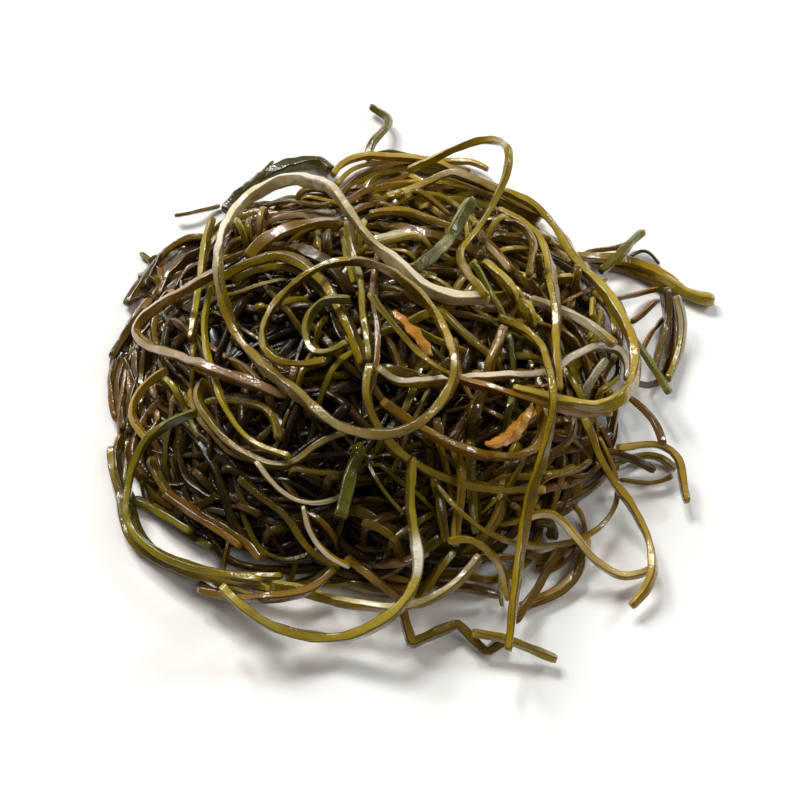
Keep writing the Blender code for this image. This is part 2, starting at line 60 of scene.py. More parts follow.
# The shreds that stand for a solid each, from the lowest to the highest.
# width is what shows from above, in mm. A lean of 0 lies flat, and of 90 stands on the cut edge.
# spring is from and to which share of the length a shred springs up, and by how much.
namedShreds = (
    dict(node="back_left_dark", look="dark", width=4.0, lean=15, route=(
        (225, 212), (250, 187), (285, 166), (320, 162), (331, 172))),
    dict(node="left_stub", look="dark", width=3.6, lean=60, route=(
        (112, 358), (122, 341), (133, 325), (145, 310))),
    dict(node="left_frill", look="brown", width=2.8, lean=40, route=(
        (126, 305), (142, 281), (160, 257), (185, 239), (207, 238))),
    dict(node="left_upright", look="olive", width=2.8, lean=75, route=(
        (212, 218), (207, 240), (203, 262), (199, 285), (195, 310), (191, 340))),
    dict(node="bottom_zigzag", look="brown", width=3.3, lean=80, route=(
        (402, 610), (412, 644), (458, 624), (487, 652), (504, 640))),
    dict(node="bottom_tip", look="olive", width=2.5, lean=60, route=(
        (472, 633), (492, 636), (512, 641), (532, 650), (557, 660))),
    dict(node="bottom_pale_loop", look="olive", width=2.9, lean=70, route=(
        (480, 556), (466, 574), (447, 591), (422, 603), (395, 608), (342, 603), (300, 590), (272, 586))),
    dict(node="left_outer_edge", look="olive", width=3.1, lean=80, route=(
        (112, 448), (112, 468), (118, 490), (121, 512), (130, 538), (152, 557), (190, 573), (235, 583),
        (270, 592))),
    dict(node="lower_left_edge", look="brown", width=3.0, lean=70, route=(
        (200, 592), (228, 600), (255, 603), (285, 600), (315, 588), (335, 568))),
    dict(node="right_hub", look="yellowOlive", width=4.0, lean=10, route=(
        (575, 256), (600, 258), (625, 261), (650, 270), (675, 287), (695, 297), (714, 300))),
    dict(node="right_dark_drop", look="dark", width=3.5, lean=80, route=(
        (664, 287), (668, 305), (667, 328), (662, 350), (655, 372))),
    dict(node="right_speckled", look="olive", width=2.7, lean=60, route=(
        (676, 296), (682, 315), (683, 335), (677, 358), (667, 380))),
    dict(node="right_spoke", look="brown", width=1.8, lean=45, route=(
        (656, 300), (642, 314), (632, 322))),
    dict(node="right_tip", look="green", width=2.8, lean=25, route=(
        (600, 272), (618, 257), (629, 244), (643, 232))),
    dict(node="right_stray", look="green", width=2.2, lean=50, route=(
        (618, 320), (630, 334), (640, 348), (650, 362), (660, 378), (670, 394))),
    dict(node="right_low_loop", look="olive", width=2.7, lean=75, spring=(0.1, 1.0, 0.006), route=(
        (618, 448), (640, 445), (658, 444), (673, 451), (682, 465), (683, 485), (687, 503))),
    dict(node="right_low_tail", look="brown", width=2.2, lean=40, route=(
        (630, 398), (645, 410), (657, 427), (664, 444))),
    dict(node="bottom_right_hook", look="brown", width=3.0, lean=75, route=(
        (582, 540), (583, 558), (578, 577), (565, 590), (545, 600), (520, 607))),
    dict(node="bottom_right_inner", look="brown", width=2.4, lean=50, route=(
        (562, 545), (550, 566), (538, 588), (526, 604), (515, 622))),
    dict(node="top_stray", look="green", width=2.8, lean=30, spring=(0.0, 0.8, 0.004), route=(
        (368, 160), (372, 143), (383, 131), (391, 122), (383, 114), (371, 107))),
    dict(node="back_bundle_upper", look="yellowOlive", width=2.8, lean=75, spring=(0.0, 1.0, 0.004), route=(
        (332, 176), (341, 164), (357, 158), (378, 155), (402, 157), (445, 166), (492, 187), (530, 207))),
    dict(node="back_bundle_lower", look="amber", width=3.4, lean=60, route=(
        (385, 198), (402, 193), (420, 188), (436, 178), (452, 172), (485, 184), (525, 206), (545, 215))),
    dict(node="amber_wide", look="amber", width=4.2, lean=20, route=(
        (248, 258), (262, 243), (283, 230), (310, 223), (342, 222))),
    dict(node="olive_wide", look="olive", width=3.7, lean=50, route=(
        (205, 288), (228, 274), (252, 262), (276, 256), (297, 260), (325, 284), (346, 320), (365, 365))),
    dict(node="golden_short", look="amber", width=2.6, lean=45, route=(
        (370, 214), (388, 211), (408, 212), (430, 219), (455, 227))),
    dict(node="green_wide", look="green", width=3.9, lean=40, route=(
        (473, 201), (461, 217), (454, 230), (446, 244), (434, 256), (410, 271))),
    dict(node="centre_upright", look="olive", width=2.8, lean=70, route=(
        (348, 225), (352, 245), (358, 268), (362, 290), (364, 315), (368, 340), (371, 362))),
    dict(node="centre_upright_thin", look="brown", width=2.3, lean=80, route=(
        (378, 255), (373, 285), (376, 310), (378, 335), (377, 360), (372, 392))),
    dict(node="dull_green_loop", look="green", width=2.6, lean=75, route=(
        (350, 299), (333, 299), (317, 306), (307, 320), (306, 338), (313, 354), (330, 353), (348, 342))),
    dict(node="lower_arc_outer", look="green", width=3.3, lean=70, route=(
        (371, 365), (367, 390), (372, 417), (400, 455), (445, 478), (495, 489), (545, 490))),
    dict(node="left_inner_loop", look="amber", width=2.6, lean=70, route=(
        (205, 380), (196, 392), (200, 405), (217, 430), (243, 454), (270, 465), (293, 464), (312, 448),
        (330, 438), (347, 432))),
    dict(node="tan_band", look="yellowOlive", width=2.2, lean=40, route=(
        (205, 402), (222, 399), (243, 401), (262, 406), (274, 418), (278, 440))),
    dict(node="pale_green_arc", look="pale", width=1.9, lean=70, route=(
        (256, 462), (272, 483), (288, 497), (308, 504), (328, 502), (349, 492))),
    dict(node="short_green_end", look="green", width=3.7, lean=30, route=(
        (360, 446), (353, 470), (347, 492), (340, 518))),
    dict(node="lower_upright", look="yellowOlive", width=2.4, lean=60, route=(
        (455, 448), (461, 468), (463, 490), (458, 515), (455, 545))),
    dict(node="pale_cut", look="pale", width=2.0, lean=60, route=(
        (303, 506), (309, 530), (320, 548), (334, 560), (350, 567))),
    dict(node="small_arc", look="yellowOlive", width=2.5, lean=65, route=(
        (448, 542), (468, 538), (484, 545), (497, 559), (505, 577), (509, 600))),
    dict(node="thin_right_arc", look="olive", width=1.9, lean=60, route=(
        (437, 485), (453, 505), (480, 527), (520, 544), (556, 545), (590, 535), (613, 512), (618, 490),
        (612, 465), (598, 438))),
    dict(node="lower_right_loop", look="yellowOlive", width=2.6, lean=65, route=(
        (528, 517), (545, 512), (560, 519), (580, 542), (598, 563), (618, 576), (638, 576), (653, 568))),
    dict(node="right_long", look="yellowOlive", width=2.8, lean=70, route=(
        (585, 418), (592, 435), (608, 472), (636, 513), (651, 547), (653, 577), (645, 592), (631, 607))),
    dict(node="tan_fold", look="amber", width=2.5, lean=60, route=(
        (167, 371), (150, 381), (137, 396), (130, 412), (136, 425), (148, 441))),
    dict(node="left_red", look="redBrown", width=2.8, lean=55, route=(
        (165, 493), (185, 507), (203, 520), (222, 532), (242, 548))),
    dict(node="lower_left_inner", look="green", width=2.8, lean=75, route=(
        (197, 413), (176, 420), (150, 437), (134, 462), (127, 490), (128, 520), (141, 542), (170, 559),
        (215, 573), (262, 581))),
    dict(node="lower_arc_inner", look="amber", width=3.1, lean=70, route=(
        (383, 402), (402, 415), (440, 440), (480, 455), (518, 456), (538, 447), (544, 425), (540, 402))),
    dict(node="bottom_loop", look="olive", width=3.7, lean=80, route=(
        (222, 587), (238, 604), (262, 622), (300, 635), (340, 638), (378, 625), (405, 602), (418, 572),
        (416, 542), (410, 505), (410, 475), (413, 458))),
    dict(node="pale_arch", look="pale", width=3.1, lean=75, route=(
        (378, 368), (400, 382), (450, 379), (500, 376), (545, 372), (572, 357), (598, 346), (620, 350),
        (628, 364), (626, 380))),
    dict(node="right_bright_band", look="yellowOlive", width=3.1, lean=20, route=(
        (530, 300), (548, 305), (565, 312), (580, 319), (598, 331), (615, 345))),
    dict(node="left_yellow_run", look="yellowOlive", width=2.0, lean=65, route=(
        (216, 297), (207, 315), (205, 340), (212, 370), (226, 410), (250, 441), (290, 457))),
    dict(node="red_diagonal", look="redBrown", width=2.6, lean=60, route=(
        (370, 293), (384, 313), (416, 350), (450, 376), (490, 388), (532, 399), (572, 412), (612, 413))),
    dict(node="right_inner_arc", look="olive", width=3.3, lean=75, route=(
        (498, 211), (520, 222), (535, 235), (545, 250), (552, 278), (556, 312), (556, 350), (558, 392))),
    dict(node="right_outer_arc", look="yellowOlive", width=3.6, lean=75, route=(
        (500, 190), (535, 206), (559, 232), (577, 261), (603, 290), (625, 324), (635, 355), (632, 385),
        (610, 405), (580, 405), (545, 396), (513, 387))),
    dict(node="long_upright", look="olive", width=2.8, lean=60, route=(
        (498, 317), (520, 325), (540, 343), (549, 370), (553, 405), (546, 447), (534, 485), (524, 530),
        (517, 580), (511, 627), (508, 652))),
    dict(node="left_fold", look="pale", width=3.4, lean=65, route=(
        (222, 270), (183, 291), (146, 315), (133, 331), (144, 343), (185, 359), (235, 379), (287, 395))),
    dict(node="crinkled_orange", look="peach", width=2.9, lean=45, route=(
        (489, 446), (503, 441), (515, 431), (525, 418), (533, 402))),
    dict(node="peach_scrap", look="peach", width=2.9, lean=30, route=(
        (393, 312), (402, 321), (413, 331), (423, 342), (431, 356))),
    dict(node="great_hoop", look="olive", width=3.7, lean=78, spring=(0.07, 0.27, 0.007), route=(
        (489, 298), (452, 297), (418, 284), (397, 263), (369, 241), (350, 212), (329, 188), (295, 179),
        (258, 191), (230, 218), (219, 250), (222, 297), (237, 335), (263, 366), (300, 397), (340, 427),
        (376, 437), (415, 426), (442, 402), (457, 370), (449, 341), (424, 300), (399, 279), (369, 264),
        (335, 262), (304, 277), (275, 303), (262, 335), (271, 356), (296, 365), (325, 361))),
    dict(node="air_loop", look="yellowOlive", width=2.5, lean=50, spring=(0.25, 1.0, 0.013), route=(
        (487, 297), (475, 283), (464, 267), (458, 253), (466, 243), (480, 226), (497, 196), (508, 172),
        (508, 150), (492, 139), (461, 147), (428, 162), (408, 171))),
)

# How some named shreds change along their length: the look that they pass into, how far at which
# share of the length, and how wide they are there. A sharp one keeps the corners of its route. Some get more
# or less painted shade in the hollows than the rest.
changes = {
    "back_left_dark": dict(into="deepGreen", blend=((0, 1), (1, 1)), ragged=1.6),
    "left_red": dict(into="brown", blend=((0, 0.5), (0.4, 0.65), (0.6, 0.6), (1, 1)), dimmed=0.8),
    "lower_left_inner": dict(into="olive", blend=((0, 0.3), (0.4, 0.7), (1, 0.9))),
    "lower_arc_outer": dict(into="olive", blend=((0, 0.2), (0.5, 0.7), (1, 0.7))),
    "crinkled_orange": dict(
        into="amber", blend=((0, 0), (0.4, 0.1), (0.7, 0.6), (1, 0.8)), thin=0.7, ragged=4.5,
        swell=((0, 1.0), (0.3, 1.5), (0.7, 1.3), (1, 0.8))),
    "peach_scrap": dict(thin=0.5, ragged=3.4),
    "amber_wide": dict(thin=0.6, into="olive", blend=((0, 0.7), (0.4, 0.4), (1, 0.6))),
    # great_hoop: the cream is its pale cut face on top, and at its first end also a painted sheen where the
    # wet face mirrors the light
    "great_hoop": dict(
        into="cream",
        blend=((0, 1), (0.07, 1), (0.10, 0.2), (0.14, 0.4), (0.19, 0.5), (0.23, 0.95), (0.34, 1),
               (0.38, 0.5), (0.42, 0), (0.50, 0.1), (0.57, 0.25), (0.66, 0.05), (0.8, 0), (1, 0)),
        swell=((0, 1.1), (0.07, 1.15), (0.10, 0.8), (0.13, 0.85), (0.2, 1.12), (0.26, 1.1), (0.33, 0.82),
               (0.45, 0.9), (0.56, 1.0), (0.67, 0.9), (0.8, 0.7), (0.93, 0.66), (1, 0.7))),
    # pale_arch, bottom_loop, green_wide, right_bright_band and right_speckled pass in places into a painted
    # sheen: a pale grey look that stands for the light mirrored on a wet face
    "pale_arch": dict(
        into="silver", blend=((0, 0.1), (0.55, 0.2), (0.65, 1), (0.9, 1), (1, 0.3)),
        swell=((0, 0.85), (0.5, 0.9), (0.66, 1.05), (0.85, 1.0), (1, 0.8))),
    "red_diagonal": dict(into="olive", blend=((0, 1), (0.38, 0.9), (0.47, 0), (1, 0)),
                         swell=((0, 0.7), (0.4, 0.8), (0.5, 1.0), (1, 1.0))),
    "right_outer_arc": dict(
        into="amber",
        blend=((0, 0.4), (0.2, 0.3), (0.45, 0.2), (0.54, 1), (0.66, 0.9), (0.72, 0.2), (1, 0.3)),
        swell=((0, 0.8), (0.3, 0.95), (0.6, 1.1), (0.8, 1.0), (1, 0.7))),
    "left_fold": dict(into="rosy", blend=((0, 0.6), (0.2, 0.4), (0.45, 0.3), (0.6, 0.5), (0.8, 1), (1, 1)),
                      swell=((0, 0.8), (0.35, 0.85), (0.5, 1.1), (1, 1.05))),
    "bottom_loop": dict(into="silver", blend=((0, 0), (0.66, 0), (0.70, 0.9), (0.76, 0.9), (0.80, 0), (1, 0)),
                        swell=((0, 0.8), (0.1, 0.95), (0.6, 1.0), (0.75, 1.05), (0.85, 0.85), (1, 0.7))),
    "green_wide": dict(into="silver", blend=((0, 0), (0.42, 0), (0.5, 0.8), (0.6, 0.8), (0.68, 0), (1, 0))),
    "right_hub": dict(into="amber", blend=((0, 0.2), (0.4, 0.5), (0.5, 1), (0.66, 0.8), (0.75, 0), (1, 0)),
                      swell=((0, 0.7), (0.4, 0.9), (0.7, 1.0), (0.8, 0.85), (0.95, 1.15), (1, 1.1))),
    "left_inner_loop": dict(into="pale", blend=((0, 0.3), (0.1, 0.2), (0.5, 0.1), (0.6, 0.5), (1, 0.2))),
    "bottom_pale_loop": dict(into="pale", blend=((0, 0.5), (0.35, 0.5), (0.6, 0.7), (0.75, 0.1), (1, 0))),
    "right_bright_band": dict(into="silver", blend=((0, 0.4), (0.3, 0.9), (0.7, 0.6), (1, 0.1))),
    "lower_right_loop": dict(into="pale", blend=((0, 0.2), (0.2, 0.9), (0.35, 0.2), (1, 0.1))),
    "small_arc": dict(into="pale", blend=((0, 0), (0.5, 0.1), (0.65, 0.9), (0.85, 0.2), (1, 0))),
    "back_bundle_lower": dict(into="pale", blend=((0, 0.3), (0.3, 0.1), (0.45, 0.8), (0.6, 0.2), (1, 0))),
    "bottom_zigzag": dict(sharp=True, into="olive", blend=((0, 0.1), (0.3, 0.6), (0.6, 0.2), (1, 0.3))),
    "right_speckled": dict(into="silver", blend=((0, 0.1), (0.2, 0.5), (0.4, 0.5), (0.5, 0), (1, 0))),
}

# More shreds, measured in the same view, that lie under the named ones. Some are thin and ragged.
extraShreds = (
    dict(node="back_left_dark", look="green", width=1.5, lean=40, route=(
        (256, 180), (266, 168), (273, 161))),
    dict(node="left_frill", look="brown", width=4.4, lean=10, thin=0.35, ragged=2.6, route=(
        (203, 243), (188, 243), (175, 250), (162, 258), (152, 266))),
    dict(node="left_frill", look="olive", width=1.6, lean=30, route=(
        (141, 253), (150, 260), (158, 268), (166, 280))),
    dict(node="left_frill", look="rosy", width=2.4, lean=40, route=(
        (157, 265), (163, 277), (170, 290), (176, 304))),
    dict(node="left_frill", look="brown", width=3.2, lean=20, thin=0.4, ragged=2.4, route=(
        (138, 276), (148, 273), (158, 280), (166, 292), (172, 306))),
    dict(node="left_frill", look="dark", width=3.6, lean=20, thin=0.4, ragged=2.2, route=(
        (126, 305), (134, 299), (144, 294), (156, 296), (168, 306))),
    dict(node="left_frill", look="brown", width=3.2, lean=40, ragged=1.6, route=(
        (205, 250), (190, 256), (176, 268), (166, 282), (160, 298))),
    dict(node="left_frill", look="dark", width=3.4, lean=40, ragged=1.6, route=(
        (212, 262), (196, 268), (182, 280), (172, 296), (164, 312))),
    dict(node="left_frill", look="dark", width=3.0, lean=30, ragged=2.0, route=(
        (198, 240), (183, 244), (168, 252), (158, 262), (150, 276), (146, 290))),
    dict(node="left_frill", look="brown", width=3.0, lean=50, route=(
        (205, 275), (190, 284), (176, 296), (160, 306), (144, 316))),
    dict(node="left_stub", look="dark", width=3.0, lean=50, route=(
        (186, 300), (168, 310), (150, 326), (136, 342))),
    dict(node="back_left_dark", look="brown", width=3.0, lean=20, thin=0.5, ragged=2.4, route=(
        (232, 215), (250, 206), (272, 204), (292, 200), (312, 206), (330, 204))),
    dict(node="back_left_dark", look="brown", width=3.2, lean=30, thin=0.5, ragged=2.0, route=(
        (226, 230), (247, 222), (268, 216), (290, 214), (312, 212), (334, 214))),
    dict(node="left_frill", look="brown", width=1.6, lean=50, route=(
        (175, 216), (190, 214), (205, 210), (220, 206))),
    dict(node="left_stub", look="brown", width=3.4, lean=60, ragged=1.6, route=(
        (118, 352), (126, 338), (134, 322), (143, 308), (152, 300))),
    dict(node="left_stub", look="brown", width=1.9, lean=60, route=(
        (126, 352), (127, 370), (123, 392), (120, 420), (121, 442))),
    dict(node="left_stub", look="dark", width=3.2, lean=60, crest=0.005, route=(
        (128, 356), (122, 372), (119, 390), (121, 410), (125, 430))),
    dict(node="left_stub", look="brown", width=2.8, lean=60, crest=0.005, route=(
        (140, 340), (131, 358), (129, 378), (131, 398), (136, 420), (140, 440))),
    dict(node="left_stub", look="dark", width=3.2, lean=50, crest=0.004, route=(
        (150, 342), (146, 360), (142, 380), (143, 402), (147, 424))),
    dict(node="left_stub", look="brown", width=3.0, lean=50, crest=0.004, route=(
        (162, 346), (158, 364), (155, 384), (156, 404), (160, 424))),
    dict(node="left_stub", look="brown", width=2.6, lean=60, crest=0.004, route=(
        (120, 350), (114, 366), (112, 384), (113, 402), (116, 420))),
    dict(node="left_stub", look="dark", width=3.4, lean=40, crest=0.003, route=(
        (136, 350), (137, 370), (134, 392), (132, 414), (131, 436))),
    dict(node="left_stub", look="dark", width=3.4, lean=40, crest=0.002, route=(
        (124, 358), (134, 380), (146, 398), (150, 420))),
    dict(node="left_stub", look="rosy", width=2.2, lean=60, route=(
        (133, 345), (134, 360), (139, 374), (146, 386))),
    dict(node="right_spoke", look="brown", width=1.6, lean=50, route=(
        (658, 289), (640, 293), (622, 298), (604, 303))),
    dict(node="right_spoke", look="brown", width=1.5, lean=50, route=(
        (663, 318), (655, 328), (647, 340), (642, 352))),
    dict(node="right_hub", look="brown", width=2.6, lean=40, ragged=1.4, route=(
        (588, 262), (612, 266), (635, 273), (652, 281), (666, 288))),
    dict(node="right_hub", look="amber", width=2.4, lean=30, route=(
        (628, 262), (648, 266), (664, 274), (678, 284))),
    dict(node="right_dark_drop", look="dark", width=3.4, lean=60, route=(
        (664, 290), (667, 310), (668, 335), (664, 358), (660, 376))),
    dict(node="right_speckled", look="brown", width=2.4, lean=60, route=(
        (672, 300), (676, 320), (677, 345), (672, 364), (664, 380))),
    dict(node="right_speckled", look="dark", width=2.0, lean=50, route=(
        (668, 378), (654, 384), (640, 385), (628, 380))),
    dict(node="right_tip", look="dark", width=1.3, lean=60, route=(
        (630, 257), (640, 247), (650, 250), (659, 263))),
    dict(node="right_tip", look="brown", width=2.0, lean=30, ragged=2.0, route=(
        (583, 254), (594, 248), (608, 249), (622, 247), (634, 241))),
    dict(node="right_low_loop", look="brown", width=1.8, lean=40, route=(
        (620, 480), (640, 483), (660, 482), (672, 476))),
    dict(node="right_low_loop", look="brown", width=2.6, lean=30, ragged=1.6, route=(
        (600, 452), (618, 455), (640, 462), (655, 470))),
    dict(node="right_low_loop", look="olive", width=2.2, lean=50, route=(
        (602, 470), (620, 462), (640, 455), (662, 458), (676, 470))),
    dict(node="back_bundle_upper", look="green", width=1.3, lean=50, route=(
        (366, 160), (376, 154), (389, 150), (402, 154), (416, 156), (430, 159))),
    dict(node="back_bundle_upper", look="brown", width=2.6, lean=60, ragged=1.5, route=(
        (338, 196), (352, 182), (372, 171), (396, 165), (420, 164), (446, 168), (470, 172))),
    dict(node="back_bundle_upper", look="amber", width=2.2, lean=60, route=(
        (336, 186), (348, 172), (366, 164), (392, 161), (420, 163), (450, 161), (474, 163), (488, 170))),
    dict(node="back_bundle_lower", look="brown", width=2.7, lean=50, ragged=1.5, route=(
        (344, 204), (360, 193), (380, 186), (402, 178), (424, 170), (440, 166))),
    dict(node="back_bundle_lower", look="brown", width=2.5, lean=60, route=(
        (350, 214), (368, 204), (388, 200), (410, 196), (436, 190), (460, 188), (480, 190))),
    dict(node="back_bundle_lower", look="yellowOlive", width=2.2, lean=60, route=(
        (452, 172), (468, 177), (486, 186), (503, 194), (520, 204), (534, 216))),
    dict(node="back_bundle_lower", look="pale", width=1.8, lean=50, route=(
        (464, 184), (478, 194), (492, 204), (506, 218))),
    dict(node="back_bundle_lower", look="pale", width=1.3, lean=60, route=(
        (468, 178), (484, 190), (496, 202), (504, 214))),
    dict(node="tangle", look="olive", width=3.2, lean=30, route=(
        (345, 190), (370, 176), (400, 170), (440, 172), (480, 182), (520, 200))),
    dict(node="tangle", look="amber", width=3.4, lean=25, route=(
        (350, 200), (380, 188), (420, 184), (460, 188), (500, 198), (540, 220))),
    dict(node="tangle", look="yellowOlive", width=3.2, lean=30, route=(
        (360, 210), (390, 200), (430, 198), (470, 202), (510, 216), (548, 240))),
    dict(node="tangle", look="yellowOlive", width=3.0, lean=40, route=(
        (440, 176), (475, 190), (510, 210), (545, 236), (570, 265))),
    dict(node="tangle", look="olive", width=3.0, lean=40, route=(
        (455, 182), (490, 198), (525, 222), (555, 250), (578, 280))),
    dict(node="tangle", look="brown", width=3.4, lean=25, thin=0.6, ragged=1.6, route=(
        (330, 215), (360, 224), (400, 228), (440, 238), (480, 254))),
    dict(node="tangle", look="brown", width=3.6, lean=25, thin=0.6, ragged=1.4, route=(
        (225, 262), (250, 250), (280, 246), (310, 252), (335, 270), (352, 295))),
    dict(node="tangle", look="olive", width=3.4, lean=30, route=(
        (232, 280), (262, 268), (292, 268), (318, 284), (338, 310))),
    dict(node="crinkled_orange", look="peach", width=2.2, lean=30, thin=0.6, ragged=3.0, crest=0.007, route=(
        (495, 441), (504, 446), (513, 443), (520, 436))),
    dict(node="crinkled_orange", look="amber", width=2.2, lean=40, thin=0.6, ragged=2.4, crest=0.007, route=(
        (516, 432), (526, 424), (536, 414), (546, 404))),
    dict(node="golden_short", look="olive", width=3.0, lean=30, ragged=1.4, route=(
        (392, 203), (416, 203), (442, 200), (464, 194), (480, 192))),
    # this shred is a painted sheen, the light mirrored on a wet face
    dict(node="golden_short", look="silver", width=2.4, lean=20, ragged=1.6, route=(
        (372, 240), (386, 237), (402, 233), (418, 238))),
    dict(node="tangle", look="pale", width=2.4, lean=60, route=(
        (352, 222), (358, 210), (366, 201), (376, 196), (384, 198), (388, 207))),
    dict(node="tangle", look="yellowOlive", width=2.5, lean=50, route=(
        (343, 230), (346, 248), (351, 266), (356, 284))),
    dict(node="tangle", look="rosy", width=3.0, lean=30, route=(
        (478, 232), (490, 244), (502, 257), (512, 272))),
    dict(node="tangle", look="olive", width=2.4, lean=60, route=(
        (460, 212), (466, 222), (470, 238), (466, 256), (462, 268))),
    dict(node="tangle", look="brown", width=2.1, lean=40, route=(
        (600, 425), (607, 440), (613, 455), (616, 470))),
    dict(node="tangle", look="olive", width=3.0, lean=60, route=(
        (562, 365), (570, 378), (580, 395), (588, 415), (600, 440), (608, 460))),
    dict(node="left_fold", look="olive", width=2.1, lean=60, route=(
        (147, 388), (147, 402), (146, 416), (143, 434))),
    dict(node="left_fold", look="olive", width=2.9, lean=40, route=(
        (150, 330), (164, 322), (180, 313), (198, 306))),
    dict(node="left_fold", look="olive", width=2.4, lean=50, route=(
        (140, 335), (133, 345), (132, 358), (138, 373))),
    # this shred passes in places into a painted sheen, the light mirrored on a wet face
    dict(node="tangle", look="olive", width=1.6, lean=50, into="silver",
         blend=((0, 0.4), (0.06, 1), (0.12, 0.1), (0.2, 0.7), (0.3, 0), (0.6, 0.3), (1, 0)), route=(
        (200, 318), (204, 308), (212, 299), (226, 297), (244, 291), (262, 284), (284, 280), (304, 283),
        (320, 290))),
    dict(node="tangle", look="brown", width=1.6, lean=60, route=(
        (560, 305), (575, 297), (590, 290), (606, 280))),
    # this shred is a painted sheen, the light mirrored on a wet face
    dict(node="tangle", look="silver", width=2.4, lean=60, ragged=1.5, route=(
        (606, 360), (597, 372), (588, 388), (580, 404))),
    dict(node="tangle", look="olive", width=3.0, lean=60, route=(
        (548, 254), (563, 267), (582, 283), (600, 299), (612, 314), (615, 336))),
    dict(node="tangle", look="green", width=2.7, lean=60, route=(
        (470, 440), (471, 465), (472, 490), (473, 516), (476, 534))),
    dict(node="tangle", look="brown", width=2.3, lean=60, route=((480, 465), (477, 490), (477, 520))),
    dict(node="tangle", look="olive", width=2.4, lean=60, route=(
        (432, 470), (439, 496), (443, 520), (446, 542))),
    dict(node="tangle", look="brown", width=2.0, lean=60, route=(
        (456, 492), (456, 508), (453, 526), (450, 542))),
    dict(node="tangle", look="amber", width=2.4, lean=60, route=(
        (192, 390), (193, 404), (202, 420), (215, 434), (228, 449), (243, 458), (262, 461))),
    dict(node="tangle", look="olive", width=2.8, lean=60, route=(
        (240, 478), (258, 494), (278, 508), (293, 524), (303, 543), (318, 558), (340, 567))),
    dict(node="tangle", look="olive", width=1.6, lean=60, route=(
        (360, 443), (368, 463), (378, 483), (390, 500), (402, 513))),
    dict(node="lower_left_inner", look="olive", width=2.8, lean=60, route=(
        (150, 458), (156, 472), (164, 487), (172, 500))),
    dict(node="lower_left_inner", look="green", width=3.0, lean=40, route=(
        (134, 500), (148, 505), (164, 514), (178, 524), (192, 532))),
    dict(node="lower_left_inner", look="olive", width=2.4, lean=70, route=(
        (130, 492), (132, 512), (139, 532), (150, 547), (166, 560), (188, 568), (216, 573), (250, 576),
        (282, 575))),
    dict(node="left_outer_edge", look="brown", width=3.0, lean=60, route=(
        (122, 436), (116, 452), (117, 470), (121, 488), (122, 506))),
    dict(node="left_outer_edge", look="olive", width=1.8, lean=60, route=(
        (128, 440), (127, 456), (126, 474), (125, 492))),
    dict(node="left_red", look="brown", width=3.0, lean=40, ragged=1.4, route=(
        (160, 489), (180, 500), (200, 513), (222, 526), (246, 542), (264, 560))),
    dict(node="lower_left_inner", look="brown", width=3.0, lean=50, route=(
        (148, 432), (157, 451), (163, 475), (171, 499), (184, 520))),
    dict(node="lower_left_inner", look="dark", width=3.2, lean=40, route=(
        (164, 424), (171, 450), (181, 479), (196, 509), (216, 531))),
    dict(node="lower_left_inner", look="brown", width=2.6, lean=60, route=(
        (138, 468), (150, 490), (167, 505), (191, 512), (222, 516))),
    dict(node="left_red", look="brown", width=2.8, lean=50, route=(
        (174, 440), (189, 465), (211, 489), (236, 505), (262, 515))),
    dict(node="left_red", look="dark", width=3.0, lean=50, route=(
        (148, 450), (170, 456), (195, 470), (215, 490), (231, 512))),
    dict(node="lower_left_inner", look="deepGreen", width=2.8, lean=60, route=(
        (143, 480), (147, 498), (157, 512), (172, 520), (190, 536), (214, 548))),
    dict(node="left_red", look="rosy", width=2.4, lean=40, route=(
        (190, 497), (202, 502), (212, 510), (220, 520))),
    dict(node="lower_left_edge", look="brown", width=2.0, lean=60, route=(
        (198, 582), (212, 590), (226, 596), (240, 602))),
    dict(node="lower_left_edge", look="olive", width=3.2, lean=50, route=(
        (214, 581), (240, 589), (268, 594), (296, 593), (318, 586))),
    dict(node="lower_left_edge", look="olive", width=2.4, lean=60, route=(
        (236, 578), (262, 584), (288, 586), (310, 580), (334, 567))),
    dict(node="pale_cut", look="olive", width=1.5, lean=60, route=((297, 558), (293, 572), (288, 586))),
    dict(node="pale_cut", look="olive", width=1.6, lean=60, route=(
        (232, 528), (229, 544), (225, 558), (222, 574))),
    dict(node="pale_cut", look="brown", width=3.0, lean=50, ragged=1.3, route=(
        (346, 556), (360, 568), (376, 580), (390, 592), (402, 602))),
    dict(node="pale_cut", look="rosy", width=2.4, lean=50, route=(
        (346, 558), (366, 564), (388, 565), (410, 560), (428, 552))),
    dict(node="bottom_pale_loop", look="olive", width=2.8, lean=60, route=(
        (418, 600), (430, 582), (442, 565), (454, 551))),
    dict(node="bottom_pale_loop", look="brown", width=2.4, lean=50, ragged=1.3, route=(
        (420, 582), (446, 587), (474, 589), (500, 596))),
    dict(node="small_arc", look="green", width=1.8, lean=60, route=((500, 572), (500, 588), (502, 606))),
    dict(node="bottom_right_hook", look="amber", width=3.0, lean=50, route=(
        (586, 536), (584, 556), (577, 573), (562, 588), (543, 599), (524, 606))),
    dict(node="bottom_right_inner", look="brown", width=2.4, lean=50, route=(
        (526, 554), (542, 559), (558, 553), (576, 543))),
    dict(node="bottom_right_inner", look="brown", width=2.4, lean=50, route=(
        (536, 568), (550, 570), (563, 561), (574, 549))),
    dict(node="lower_right_loop", look="olive", width=1.8, lean=60, route=(
        (574, 505), (583, 517), (588, 530), (584, 543))),
    dict(node="lower_right_loop", look="dark", width=3.4, lean=30, ragged=1.6, route=(
        (534, 522), (546, 519), (556, 526), (552, 540))),
)
